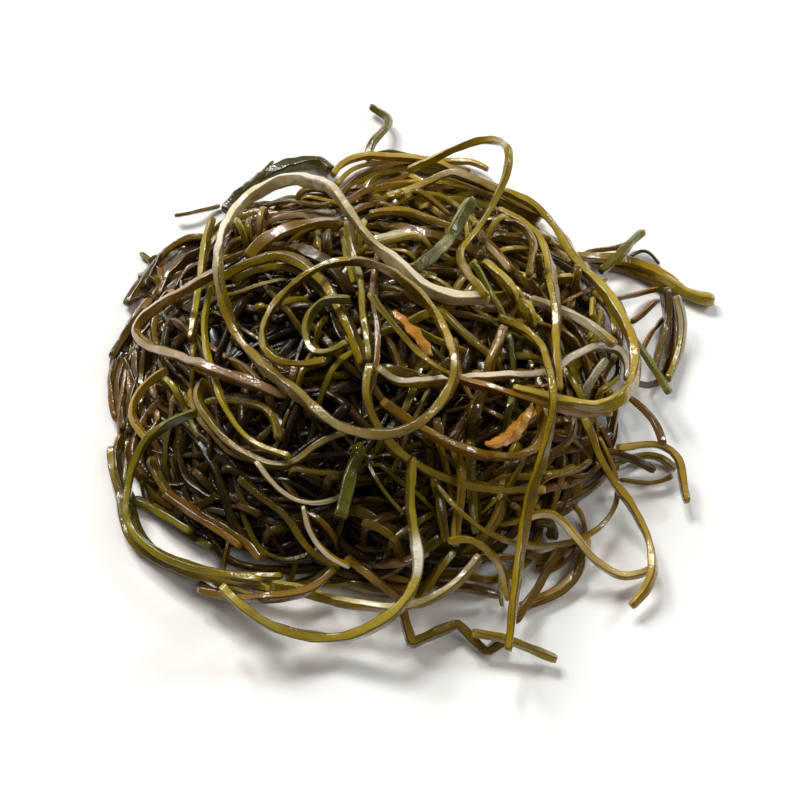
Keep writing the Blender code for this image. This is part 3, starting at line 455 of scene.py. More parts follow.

# Shreds with no solid of their own, drawn by a seeded rule. count of them are tried on the pile under the
# others, and between more run through it at a drawn depth. Lengths and strides are shares of the heap's
# half-width. pulledIn is how far the pile stays inside the rim, by direction in degrees.
# Some of these paint light and shade into the piled shreds' colour: painted shade in the hollows and on the
# shreds run between, deep in the pile, and painted light on those on the side the light comes from.
fillShreds = {
    "count": 450, "seed": 5, "draws": 8, "centre": (-0.005, 0.001), "width": (1.8, 3.6),
    "length": (1.2, 3.0), "shorter": 0.65, "stride": 0.04, "reach": (0.90, 1.0), "strayCost": 5,
    "crest": 0.0005, "rimCrest": 0.003, "fromTop": 0.008, "over": 0.0012, "top": 0.005,
    "stiffness": 14, "floorStiffness": 30, "cell": 0.0015, "cells": 160, "perPiece": 50,
    "dimmed": 1.9, "lighter": 0.3, "litFrom": 0.008,
    "between": 130, "betweenDraws": 4, "betweenLong": 0.8, "depth": (0.0046, 0.0085), "dip": 0.0012,
    "lowest": 0.0016, "deeper": 0.7,
    "pulledIn": ((-180, 0.02), (-160, 0.03), (-135, 0.14), (-110, 0.17), (-90, 0.17), (-45, 0.15),
                 (0, 0.12), (45, 0.07), (90, 0.0), (180, 0.02)),
}


def rimReach(angle):
    return 1 + 0.05 * np.sin(3 * angle + 1.0)


def heapTop(x, y):
    across = (x - dome["centre"][0]) / dome["halfWidth"]
    along = (y - dome["centre"][1]) / dome["halfDepth"]
    rim = rimReach(np.arctan2(along, across))
    inside = np.clip(1 - (across ** 2 + along ** 2) / rim ** 2, 0, None)
    lumps = 1 + 0.10 * np.sin(75 * x + 1.3) * np.sin(85 * y + 0.4)
    return dome["height"] * inside * lumps


# where measured points are in plan, if they lie at these heights
def placeUnder(points, height):
    slant = math.radians(measured["elevation"])
    right = (points[:, 0] - measured["centre"][0]) / measured["focal"]
    up = (measured["centre"][1] - points[:, 1]) / measured["focal"]
    rayY = math.cos(slant) + up * math.sin(slant)
    rayZ = -math.sin(slant) + up * math.cos(slant)
    reach = (height - measured["distance"] * math.sin(slant)) / rayZ
    return np.stack([reach * right, reach * rayY - measured["distance"] * math.cos(slant)], axis=1)


# a Catmull-Rom curve through given points
def smoothRoute(points, perLeg=12):
    points = np.array(points, float)
    ends = np.vstack([2 * points[0] - points[1], points, 2 * points[-1] - points[-2]])
    t = np.linspace(0, 1, perLeg, endpoint=False)[:, None]
    legs = []
    for a, b, c, d in zip(ends, ends[1:], ends[2:], ends[3:]):
        curve = 2 * b + (c - a) * t + (2 * a - 5 * b + 4 * c - d) * t ** 2
        legs.append(0.5 * (curve + (3 * b - a - 3 * c + d) * t ** 3))
    return np.vstack(legs + [points[-1:]])


def distances(points):
    lengths = np.linalg.norm(np.diff(points, axis=0), axis=1)
    return np.concatenate([[0], np.cumsum(lengths)])


# the same line with its points a step apart, measured along its first columns
def evenSteps(points, step, measure=None):
    along = distances(points[:, :measure])
    count = max(5, int(round(along[-1] / step)))
    at = np.linspace(0, along[-1], count + 1)
    return at, np.stack([np.interp(at, along, points[:, k]) for k in range(points.shape[1])], axis=1)


def soften(values, rounds):
    values = values.copy()
    for _ in range(rounds):
        values[1:-1] = 0.5 * values[1:-1] + 0.25 * (values[:-2] + values[2:])
    return values


# a stiff strip over a bumpy floor, or with sign -1 under a bumpy ceiling
def bridge(limit, rounds, sign=1):
    height = limit.copy()
    for _ in range(rounds):
        padded = np.concatenate([height[:1], height, height[-1:]])
        even = 0.5 * height + 0.25 * (padded[:-2] + padded[2:])
        height = np.maximum(limit, even) if sign > 0 else np.minimum(limit, even)
    return height


# raises a floor so that nothing drops from its high spots more steeply than a strip would
def easeDown(floor, at):
    slope = laying["steepest"]
    rising = np.maximum.accumulate(floor + slope * at) - slope * at
    falling = np.maximum.accumulate((floor - slope * at)[::-1])[::-1] + slope * at
    return np.maximum(rising, falling)


def halfExtents(width, roll):
    cut, thick = laying["cutShare"] * width, laying["thickShare"] * width
    lean, stand = np.abs(np.cos(roll)), np.abs(np.sin(roll))
    return 0.5 * (cut * lean + thick * stand), 0.5 * (cut * stand + thick * lean)


# what has been laid so far: each sample's place, half-width, top and underside
class Heap:
    def __init__(self):
        self.plan = np.zeros((0, 2))
        self.halfWidth = np.zeros(0)
        self.top = np.zeros(0)
        self.bottom = np.zeros(0)

    def add(self, plan, halfWidth, level, tall):
        self.plan = np.vstack([self.plan, plan])
        self.halfWidth = np.concatenate([self.halfWidth, halfWidth])
        self.top = np.concatenate([self.top, level + tall])
        self.bottom = np.concatenate([self.bottom, level - tall])

    def near(self, plan, halfWidth):
        apart = np.linalg.norm(plan[:, None] - self.plan[None], axis=2)
        return apart < halfWidth[:, None] + self.halfWidth[None] + laying["sideGap"]

    def floorUnder(self, plan, halfWidth):
        heading = np.gradient(plan, axis=0)
        heading /= np.linalg.norm(heading, axis=1)[:, None] + 1e-12
        side = np.stack([-heading[:, 1], heading[:, 0]], axis=1) * halfWidth[:, None]
        floor = np.full(len(plan), laying["groundGap"])
        for shift in (-1.3, 0, 1.3):
            spot = plan + shift * side
            under = heapTop(spot[:, 0], spot[:, 1])
            floor = np.maximum(floor, np.where(under > 0, under + laying["gap"], 0))
        if len(self.plan):
            held = np.where(self.near(plan, halfWidth), self.top[None] + laying["gap"], 0)
            floor = np.maximum(floor, held.max(axis=1))
        return floor

    # follows a measured route at the heights that settle() gives for it
    def follow(self, shred, settle):
        width = shred["width"] / 1000
        route = np.array(shred["route"], float) if shred.get("sharp") else smoothRoute(shred["route"])
        pixels = evenSteps(route, laying["routeStep"])[1]
        height = np.full(len(pixels), 0.02)
        for _ in range(6):
            plan = placeUnder(pixels, height)
            height = 0.5 * (height + heapTop(plan[:, 0], plan[:, 1]) + 0.006)
        for turn in range(laying["turns"]):
            slow = turn >= laying["slowTurn"]
            track = np.column_stack([placeUnder(pixels, height), height, pixels])
            if shred.get("sharp"):
                at, even, plan = distances(track[:, :2]), track, track[:, :2]
            else:
                at, even = evenSteps(track, laying["step"], 2)
                plan, pixels = soften(even[:, :2], 3), even[:, 3:]
            sway = np.sin(at * laying["swayBeat"] + width * laying["swayStart"])
            roll = math.radians(shred["lean"]) + laying["sway"] * sway
            halfWidth, halfHeight = halfExtents(width, roll)
            floor, level = settle(plan, halfWidth, halfHeight, at)
            if slow:
                level = np.maximum(level, even[:, 2] - laying["mostDrop"])
            height = level if slow else 0.5 * (even[:, 2] + level)
        return plan, level, roll, halfWidth, halfHeight, at, floor

    # lays a shred over what is there, the same way as its solid was laid
    def lay(self, shred):
        start, end, rise = shred.get("spring", (0.0, 1.0, 0.0))

        def settle(plan, halfWidth, halfHeight, at):
            share = np.clip((at / at[-1] - start) / (end - start), 0, 1)
            floor = self.floorUnder(plan, halfWidth) + halfHeight + rise * np.sin(math.pi * share) ** 2
            level = bridge(easeDown(floor, at), laying["stiffness"])
            return floor, self.overItself(plan, level, floor, halfWidth, halfHeight, at)

        plan, level, roll, halfWidth, halfHeight, at, floor = self.follow(shred, settle)
        tall = halfHeight * np.sqrt(1 + np.gradient(level, at) ** 2)
        level = bridge(np.maximum(level, floor + tall - halfHeight), 6)
        self.add(plan, halfWidth, level, tall)
        return np.column_stack([plan, level]), roll

    # lays a shred along a measured route under what lies over it
    def layUnder(self, shred):
        def settle(plan, halfWidth, halfHeight, at):
            level = self.levelUnder(plan, halfWidth, halfHeight, shred.get("crest", 0.004))
            return level, np.maximum(level, halfHeight + laying["groundGap"])

        plan, level, roll, halfWidth, halfHeight, at, _ = self.follow(shred, settle)
        self.add(plan, halfWidth, level, halfHeight)
        return np.column_stack([plan, level]), roll

    def overItself(self, plan, level, floor, halfWidth, halfHeight, at):
        later = at[:, None] - at[None] > laying["ownReach"]
        apart = np.linalg.norm(plan[:, None] - plan[None], axis=2)
        near = later & (apart < halfWidth[:, None] + halfWidth[None] + laying["sideGap"])
        if not near.any():
            return level
        for _ in range(4):
            ownTop = level + halfHeight + laying["gap"]
            held = np.where(near, ownTop[None], 0).max(axis=1) + halfHeight
            held = np.maximum(floor, np.where(near.any(axis=1), held, 0))
            level = bridge(easeDown(held, at), laying["stiffness"])
        return level

    # the height just under what lies over a line
    def levelUnder(self, plan, halfWidth, halfHeight, crest):
        under = np.where(self.near(plan, halfWidth), self.bottom[None] - laying["gap"] * 0.5, 1.0).min(axis=1)
        ceiling = np.minimum(heapTop(plan[:, 0], plan[:, 1]) + crest, under) - halfHeight
        return bridge(ceiling, fillShreds["stiffness"], -1)

    # the samples within reach of a line, to keep the next steps quick
    def around(self, plan):
        low, high = plan.min(axis=0) - laying["closeBy"], plan.max(axis=0) + laying["closeBy"]
        inside = ((self.plan > low) & (self.plan < high)).all(axis=1)
        part = Heap()
        part.plan, part.halfWidth = self.plan[inside], self.halfWidth[inside]
        part.top, part.bottom = self.top[inside], self.bottom[inside]
        return part

    # rests a shred on this pile, under another one; none if it would stand out over the target
    def rest(self, plan, width, roll, target, above):
        halfWidth, halfHeight = halfExtents(width, roll)
        at = distances(plan)
        floor = np.clip(heapTop(plan[:, 0], plan[:, 1]) - fillShreds["fromTop"], laying["groundGap"], None)
        pile = self.around(plan)
        if len(pile.plan):
            floor = np.maximum(floor, np.where(pile.near(plan, halfWidth), pile.top[None], 0).max(axis=1))
        floor = floor + laying["gap"] * 0.4 + halfHeight
        level = bridge(easeDown(floor, at), fillShreds["floorStiffness"])
        level = self.overItself(plan, level, floor, halfWidth, halfHeight, at)
        if (level - target).mean() > fillShreds["over"]:
            return None
        under = above.around(plan)
        below = under.bottom[None] - laying["gap"] * 0.4
        ceiling = np.where(under.near(plan, halfWidth), below, 1.0).min(axis=1)
        level = np.minimum(level, bridge(ceiling - halfHeight, fillShreds["stiffness"], -1))
        level = np.maximum(level, halfHeight + laying["groundGap"])
        self.add(plan, halfWidth, level, halfHeight)
        return np.column_stack([plan, level])


# how high the pile stands so far, over a grid of square cells
class Cover:
    def __init__(self):
        self.tops = np.zeros((fillShreds["cells"], fillShreds["cells"]))

    def cells(self, plan):
        cells = (plan / fillShreds["cell"]).astype(int) + fillShreds["cells"] // 2
        return tuple(np.clip(cells, 0, fillShreds["cells"] - 1).T)

    # a shred covers a millimetre to each side of its line
    def mark(self, plan, top):
        for shiftX, shiftY in ((0, 0), (0.001, 0), (-0.001, 0), (0, 0.001), (0, -0.001)):
            np.maximum.at(self.tops, self.cells(plan + (shiftX, shiftY)), top)

    # how far a line's cells are from being full, as a share
    def lack(self, plan):
        top = pileTop(plan)
        base = np.clip(top - fillShreds["fromTop"], 0, None)
        return np.clip((top - self.tops[self.cells(plan)]) / (top - base), -0.5, 1).mean()


# Hollows which the light from behind hardly reaches: one at the front left, one inside the great hoop. Shreds
# in them get painted shade: their colour is darkened the deeper in a hollow they lie.
hollows = (
    {"centre": (-0.028, -0.036), "halfWidth": 0.066, "halfDepth": 0.033, "dark": 1.0, "edge": 1.8},
    {"centre": (-0.036, 0.014), "halfWidth": 0.050, "halfDepth": 0.032, "dark": 0.55, "edge": 1.8},
)


# how deep in a hollow a point is, 0 outside them; it sets how much painted shade the point gets
def inHollow(points):
    depth = np.zeros(len(points))
    for hollow in hollows:
        across = (points[:, :2] - hollow["centre"]) / (hollow["halfWidth"], hollow["halfDepth"])
        inside = np.clip(hollow["edge"] * (1 - np.linalg.norm(across, axis=1)), 0, 1)
        depth = np.maximum(depth, hollow["dark"] * inside)
    return depth


# how high the drawn shreds are to be piled
def pileTop(plan):
    away = np.linalg.norm((plan - fillShreds["centre"]) / (dome["halfWidth"], dome["halfDepth"]), axis=1)
    return heapTop(plan[:, 0], plan[:, 1]) + fillShreds["crest"] + fillShreds["rimCrest"] * away ** 3


# A strip's finer form: rounded corners, narrower ends, uneven edges and faces, and slow twists.
# waves are lengths and shares, and whether a ragged strip has more of them; twists are angles and beats.
stripForm = {
    "rounding": 0.20, "ends": 0.8, "edge": 0.10, "face": 0.07, "fullTurn": 6.28,
    "waves": ((0.023, 0.50, False), (0.0105, 0.30, False), (0.0052, 0.14, True), (0.0026, 0.06, True)),
    "twists": ((0.16, 75), (0.09, 190), (0.025, 480)), "twistDraw": (0.8, 1.2),
    "endMark": 0.62, "rimMark": 0.07,
}


# the section: a bar with rounded corners, its four faces each a quarter of the way round
def sectionCorners(perCorner):
    points = []
    for cornerX, cornerY, startAngle in ((1, 1, 0), (-1, 1, 90), (-1, -1, 180), (1, -1, 270)):
        for k in range(perCorner):
            part = k / (perCorner - 1) if perCorner > 1 else 0.5
            angle = math.radians(startAngle + 90 * part)
            points.append((cornerX, cornerY, math.cos(angle), math.sin(angle), part))
    return points


# an uneven edge: waves of several lengths, each of a drawn phase
def waver(at, draw, amount, ragged):
    turn = stripForm["fullTurn"]
    wave = sum(share * (ragged if fine else 1) * np.sin(turn * at / length + draw.uniform(0, turn))
               for length, share, fine in stripForm["waves"])
    return amount * (0.5 + 0.5 * ragged) * wave


# a closed strip along a line: points, faces, UVs and each point's share of the length
def stripMesh(line, roll, width, draw, step=0.0010, perCorner=3, swell=None, thin=1.0, ragged=1.0,
              sharp=False):
    at, even = evenSteps(np.column_stack([line, roll]), step, 3)
    line, roll = soften(even[:, :3], 0 if sharp else 2), even[:, 3]
    for amount, beat in stripForm["twists"]:
        faster = draw.uniform(*stripForm["twistDraw"])
        roll = roll + amount * np.sin(at * beat * faster + draw.uniform(0, stripForm["fullTurn"]))
    ahead = np.gradient(line, axis=0)
    ahead /= np.linalg.norm(ahead, axis=1)[:, None] + 1e-12
    side = np.cross(ahead, (0, 0, 1.0))
    side /= np.linalg.norm(side, axis=1)[:, None] + 1e-12
    over = np.cross(side, ahead)
    axisX = side * np.cos(roll)[:, None] + over * np.sin(roll)[:, None]
    axisY = np.cross(ahead, axisX)
    size = np.ones(len(at))
    if swell:
        shares, factors = zip(*swell)
        size = np.interp(at / at[-1], shares, factors)
    size[0] *= stripForm["ends"]
    size[-1] *= stripForm["ends"]
    cut = laying["cutShare"] * width * size
    thick = laying["thickShare"] * width * thin * size
    edge = {sign: waver(at, draw, stripForm["edge"] * width, ragged) for sign in (1, -1)}
    face = {sign: waver(at, draw, stripForm["face"] * width, ragged) for sign in (1, -1)}
    corners = sectionCorners(perCorner)
    radius = (stripForm["rounding"] if perCorner > 1 else 0) * thick
    count, rings = len(corners), len(at)
    points = np.zeros((rings, count, 3))
    for k, (signX, signY, cosine, sine, _) in enumerate(corners):
        x = signX * (cut / 2 - radius + edge[signX]) + radius * cosine
        y = signY * (thick / 2 - radius + face[signY]) + radius * sine
        points[:, k] = line + axisX * x[:, None] + axisY * y[:, None]
    points[:, :, 2] = np.maximum(points[:, :, 2], 0)
    # v runs round the section: skin face 0 to 0.25, cut face to 0.5, skin to 0.75, cut to 1
    rim = np.array([0.25 * (k // perCorner) + stripForm["rimMark"] * (corner[4] - 0.5)
                    for k, corner in enumerate(corners)])
    faces, uvs = [], []
    for i in range(rings - 1):
        for k in range(count):
            n = (k + 1) % count
            a, b = i * count, (i + 1) * count
            faces.append((a + k, a + n, b + n, b + k))
            far = rim[n] + (1 if n == 0 else 0)
            uvs.extend(((at[i], rim[k]), (at[i], far), (at[i + 1], far), (at[i + 1], rim[k])))
    faces.append(tuple(reversed(range(count))))
    uvs.extend([(at[0], stripForm["endMark"])] * count)
    faces.append(tuple((rings - 1) * count + k for k in range(count)))
    uvs.extend([(at[-1], stripForm["endMark"])] * count)
    share = np.repeat(at / at[-1], count)
    return dict(points=points.reshape(-1, 3), faces=faces, uvs=uvs, share=share)


# one piece from one or several strips, each with its own shade and start. The shade is a random tone per
# strip, lowered by painted shade in the hollows and deep in the pile, and raised by painted light on the lit
# side.
def makePiece(name, strips, material, draw):
    points, faces, uvs, shades, blends, starts = [], [], [], [], [], []
    offset = 0
    for strip in strips:
        points.append(strip["points"])
        faces.extend([tuple(i + offset for i in face) for face in strip["faces"]])
        start = draw.uniform(0, 3)
        uvs.extend([(u + start, v) for u, v in strip["uvs"]])
        # painted shade: a strip is darkened the deeper its points lie in a hollow
        paintedDarkening = strip.get("dimmed", 0) * inHollow(strip["points"])
        shade = draw.uniform(0, 1) - strip.get("deeper", 0) - paintedDarkening
        shades.append(np.clip(shade, -1, 1))
        blends.append(np.broadcast_to(strip.get("blend", 0.0), len(strip["points"])))
        starts.append(np.full(len(strip["points"]), start))
        offset += len(strip["points"])
    mesh = bpy.data.meshes.new(name)
    mesh.from_pydata(np.vstack(points).tolist(), [], faces)
    layer = mesh.uv_layers.new(name="strip")
    layer.data.foreach_set("uv", np.array(uvs, np.float32).ravel())
    for label, values in (("shade", shades), ("blend", blends), ("start", starts)):
        attribute = mesh.attributes.new(label, "FLOAT", "POINT")
        attribute.data.foreach_set("value", np.concatenate(values).astype(np.float32))
    mesh.shade_smooth()
    mesh.materials.append(material)
    piece = bpy.data.objects.new(name, mesh)
    flatFaces = piece.modifiers.new("flat faces", "WEIGHTED_NORMAL")
    flatFaces.keep_sharp = False
    flatFaces.weight = 90
    bpy.context.scene.collection.objects.link(piece)
    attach(piece, "root")
    return piece


def newGroup(name, inputs, outputs):
    group = bpy.data.node_groups.new(name, "ShaderNodeTree")
    for socketName, kind, value in inputs:
        socket = group.interface.new_socket(socketName, in_out="INPUT", socket_type=kind)
        if value is not None:
            socket.default_value = value
    for socketName, kind in outputs:
        group.interface.new_socket(socketName, in_out="OUTPUT", socket_type=kind)
    return group, group.nodes.new("NodeGroupInput"), group.nodes.new("NodeGroupOutput")


# puts a number in a socket, or links another socket to it
def feed(tree, socket, value):
    if isinstance(value, (int, float)):
        socket.default_value = value
    elif isinstance(value, tuple):
        socket.default_value = (*value, 1)
    else:
        tree.links.new(value, socket)


def mathNode(tree, operation, *values):
    node = tree.nodes.new("ShaderNodeMath")
    node.operation = operation
    for socket, value in zip(node.inputs, values):
        feed(tree, socket, value)
    return node.outputs[0]


def ramp(tree, value, low, high, start=0.0, end=1.0, smooth=True):
    node = tree.nodes.new("ShaderNodeMapRange")
    node.interpolation_type = "SMOOTHSTEP" if smooth else "LINEAR"
    tree.links.new(value, node.inputs["Value"])
    for socket, number in zip(("From Min", "From Max", "To Min", "To Max"), (low, high, start, end)):
        node.inputs[socket].default_value = number
    return node.outputs["Result"]


def mixColour(tree, factor, a, b):
    node = tree.nodes.new("ShaderNodeMix")
    node.data_type = "RGBA"
    for socket, value in ((node.inputs[0], factor), (node.inputs[6], a), (node.inputs[7], b)):
        feed(tree, socket, value)
    return node.outputs[2]


def noise(tree, vector, scale, detail=2, rough=0.5):
    node = tree.nodes.new("ShaderNodeTexNoise")
    tree.links.new(vector, node.inputs["Vector"])
    node.inputs["Scale"].default_value = scale
    node.inputs["Detail"].default_value = detail
    node.inputs["Roughness"].default_value = rough
    return node.outputs["Fac"]


def stretched(tree, vector, x, y):
    node = tree.nodes.new("ShaderNodeVectorMath")
    node.operation = "MULTIPLY"
    tree.links.new(vector, node.inputs[0])
    node.inputs[1].default_value = (x, y, 1)
    return node.outputs[0]


# which face of the section a point is on, from the strip's UVs
def makeSectionGroup():
    group, given, out = newGroup(
        "section faces", [("Strip", "NodeSocketVector", None)],
        [("Cut", "NodeSocketFloat"), ("Rim", "NodeSocketFloat")])
    parts = group.nodes.new("ShaderNodeSeparateXYZ")
    group.links.new(given.outputs["Strip"], parts.inputs[0])
    quarter = mathNode(group, "FRACT", mathNode(group, "MULTIPLY", parts.outputs["Y"], 4))
    side = mathNode(group, "ABSOLUTE", mathNode(group, "SUBTRACT", quarter, 0.5))
    half = mathNode(group, "FRACT", mathNode(group, "MULTIPLY", parts.outputs["Y"], 2))
    fromCut = mathNode(group, "ABSOLUTE", mathNode(group, "SUBTRACT", half, 0.75))
    group.links.new(ramp(group, fromCut, 0.22, 0.27, 1, 0), out.inputs["Cut"])
    group.links.new(ramp(group, side, 0.36, 0.47), out.inputs["Rim"])
    return group


# slow and fine changes of tone along a shred, and streaks that run with it
def makeToneGroup():
    group, given, out = newGroup(
        "kelp tones", [("Strip", "NodeSocketVector", None)],
        [("Broad", "NodeSocketFloat"), ("Patch", "NodeSocketFloat"), ("Streak", "NodeSocketFloat"),
         ("Fleck", "NodeSocketFloat")])
    strip = given.outputs["Strip"]
    group.links.new(noise(group, stretched(group, strip, 24, 1.2), 1, 2), out.inputs["Broad"])
    group.links.new(noise(group, stretched(group, strip, 120, 5), 1, 3, 0.6), out.inputs["Patch"])
    group.links.new(noise(group, stretched(group, strip, 90, 24), 1, 3, 0.6), out.inputs["Streak"])
    group.links.new(noise(group, stretched(group, strip, 1300, 34), 1, 2, 0.6), out.inputs["Fleck"])
    return group


# The wet skin that all shreds share: its relief, its water film, and the light that gets into it.
wetSurface = {
    "waves": 0.8, "crinkles": 1.1, "grain": 0.03, "bump": 0.8, "bumpDepth": 0.00045, "ior": 1.40,
    "filmRoughness": 0.035, "filmIor": 1.36, "filmInDark": 0.15,
    "softRadius": (1.0, 0.7, 0.25), "softScale": 0.0012, "hues": (0.481, 0.505), "saturation": (1.20, 1.06),
}


# the wet surface's height: long soft waves, crinkles across the strip in places, fine grain
def makeWetGroup():
    group, given, out = newGroup(
        "wet surface", [("Strip", "NodeSocketVector", None), ("Crinkle", "NodeSocketFloat", 0.5)],
        [("Height", "NodeSocketFloat")])
    strip = given.outputs["Strip"]
    wave = noise(group, stretched(group, strip, 260, 3), 1, 2)
    across = noise(group, stretched(group, strip, 1500, 9), 1, 1)
    where = ramp(group, noise(group, stretched(group, strip, 60, 2), 1, 1), 0.44, 0.60)
    grain = noise(group, stretched(group, strip, 3200, 60), 1, 2)
    crinkle = mathNode(group, "MULTIPLY", across, where)
    crinkle = mathNode(group, "MULTIPLY", crinkle, given.outputs["Crinkle"])
    wave = mathNode(group, "MULTIPLY", wave, wetSurface["waves"])
    height = mathNode(group, "ADD", wave, mathNode(group, "MULTIPLY", crinkle, wetSurface["crinkles"]))
    height = mathNode(group, "ADD", height, mathNode(group, "MULTIPLY", grain, wetSurface["grain"]))
    group.links.new(height, out.inputs["Height"])
    return group


def useGroup(tree, group, **links):
    node = tree.nodes.new("ShaderNodeGroup")
    node.node_tree = group
    for name, value in links.items():
        feed(tree, node.inputs[name], value)
    return node.outputs


def attributeNode(tree, name):
    node = tree.nodes.new("ShaderNodeAttribute")
    node.attribute_name = name
    return node.outputs["Fac"]


# skin on two faces, paler flesh on the two cut ones, a darker line where they meet;
# along its length a strip may pass from its own look to another one
def makeKelp(name, look, other, groups):
    material = bpy.data.materials.new(name)
    material.use_nodes = True
    tree = material.node_tree
    surface = tree.nodes["Principled BSDF"]
    uvMap = tree.nodes.new("ShaderNodeUVMap")
    uvMap.uv_map = "strip"
    strip = uvMap.outputs["UV"]
    shade, blend, start = (attributeNode(tree, label) for label in ("shade", "blend", "start"))
    section = useGroup(tree, groups["section"], Strip=strip)
    tone = useGroup(tree, groups["tone"], Strip=strip)
    wet = useGroup(tree, groups["wet"], Strip=strip, Crinkle=look["crinkle"])

    def coat(key):
        return mixColour(tree, blend, look[key], other[key]) if other is not look else look[key]

    skin = mixColour(tree, ramp(tree, tone["Broad"], 0.35, 0.65), coat("skin"), coat("skinOther"))
    skin = mixColour(tree, ramp(tree, tone["Patch"], 0.48, 0.72, 0, 0.60), skin, coat("skinDeep"))
    flesh = mixColour(tree, ramp(tree, tone["Broad"], 0.35, 0.70), coat("flesh"), coat("fleshOther"))
    streaks = ramp(tree, tone["Streak"], 0.48, 0.70, 0, look["streak"])
    flesh = mixColour(tree, streaks, flesh, coat("skinOther"))
    flesh = mixColour(tree, ramp(tree, tone["Fleck"], 0.60, 0.80, 0, 0.30), flesh, coat("skinDeep"))
    colour = mixColour(tree, section["Cut"], skin, flesh)
    rim = mathNode(tree, "MULTIPLY", section["Rim"], look["rim"])
    colour = mixColour(tree, rim, colour, coat("skinDeep"))
    value = tree.nodes.new("ShaderNodeHueSaturation")
    tree.links.new(colour, value.inputs["Color"])
    # the shade attribute sets brightness and saturation: a random tone per strip, with the painted shade and
    # painted light that makePiece puts in it
    darkest, lightest = look["darkest"], look["lightest"]
    brightness = ramp(tree, shade, -1, 1, 2 * darkest - lightest, lightest, False)
    tree.links.new(brightness, value.inputs["Value"])
    tree.links.new(ramp(tree, shade, 0, 1, *wetSurface["saturation"], False), value.inputs["Saturation"])
    tint = mathNode(tree, "FRACT", mathNode(tree, "MULTIPLY", start, 7.3))
    tree.links.new(ramp(tree, tint, 0, 1, *wetSurface["hues"], False), value.inputs["Hue"])
    tree.links.new(value.outputs["Color"], surface.inputs["Base Color"])
    tree.links.new(ramp(tree, tone["Patch"], 0.3, 0.7, *look["rough"]), surface.inputs["Roughness"])
    bump = tree.nodes.new("ShaderNodeBump")
    bump.inputs["Strength"].default_value = wetSurface["bump"]
    bump.inputs["Distance"].default_value = wetSurface["bumpDepth"]
    tree.links.new(wet["Height"], bump.inputs["Height"])
    tree.links.new(bump.outputs["Normal"], surface.inputs["Normal"])
    tree.links.new(bump.outputs["Normal"], surface.inputs["Coat Normal"])
    surface.inputs["IOR"].default_value = wetSurface["ior"]
    film = ramp(tree, shade, -0.8, 0.2, wetSurface["filmInDark"] * look["coat"], look["coat"])
    tree.links.new(film, surface.inputs["Coat Weight"])
    surface.inputs["Coat Roughness"].default_value = wetSurface["filmRoughness"]
    surface.inputs["Coat IOR"].default_value = wetSurface["filmIor"]
    surface.inputs["Subsurface Weight"].default_value = look["soft"]
    surface.inputs["Subsurface Radius"].default_value = wetSurface["softRadius"]
    surface.inputs["Subsurface Scale"].default_value = wetSurface["softScale"]
    return material


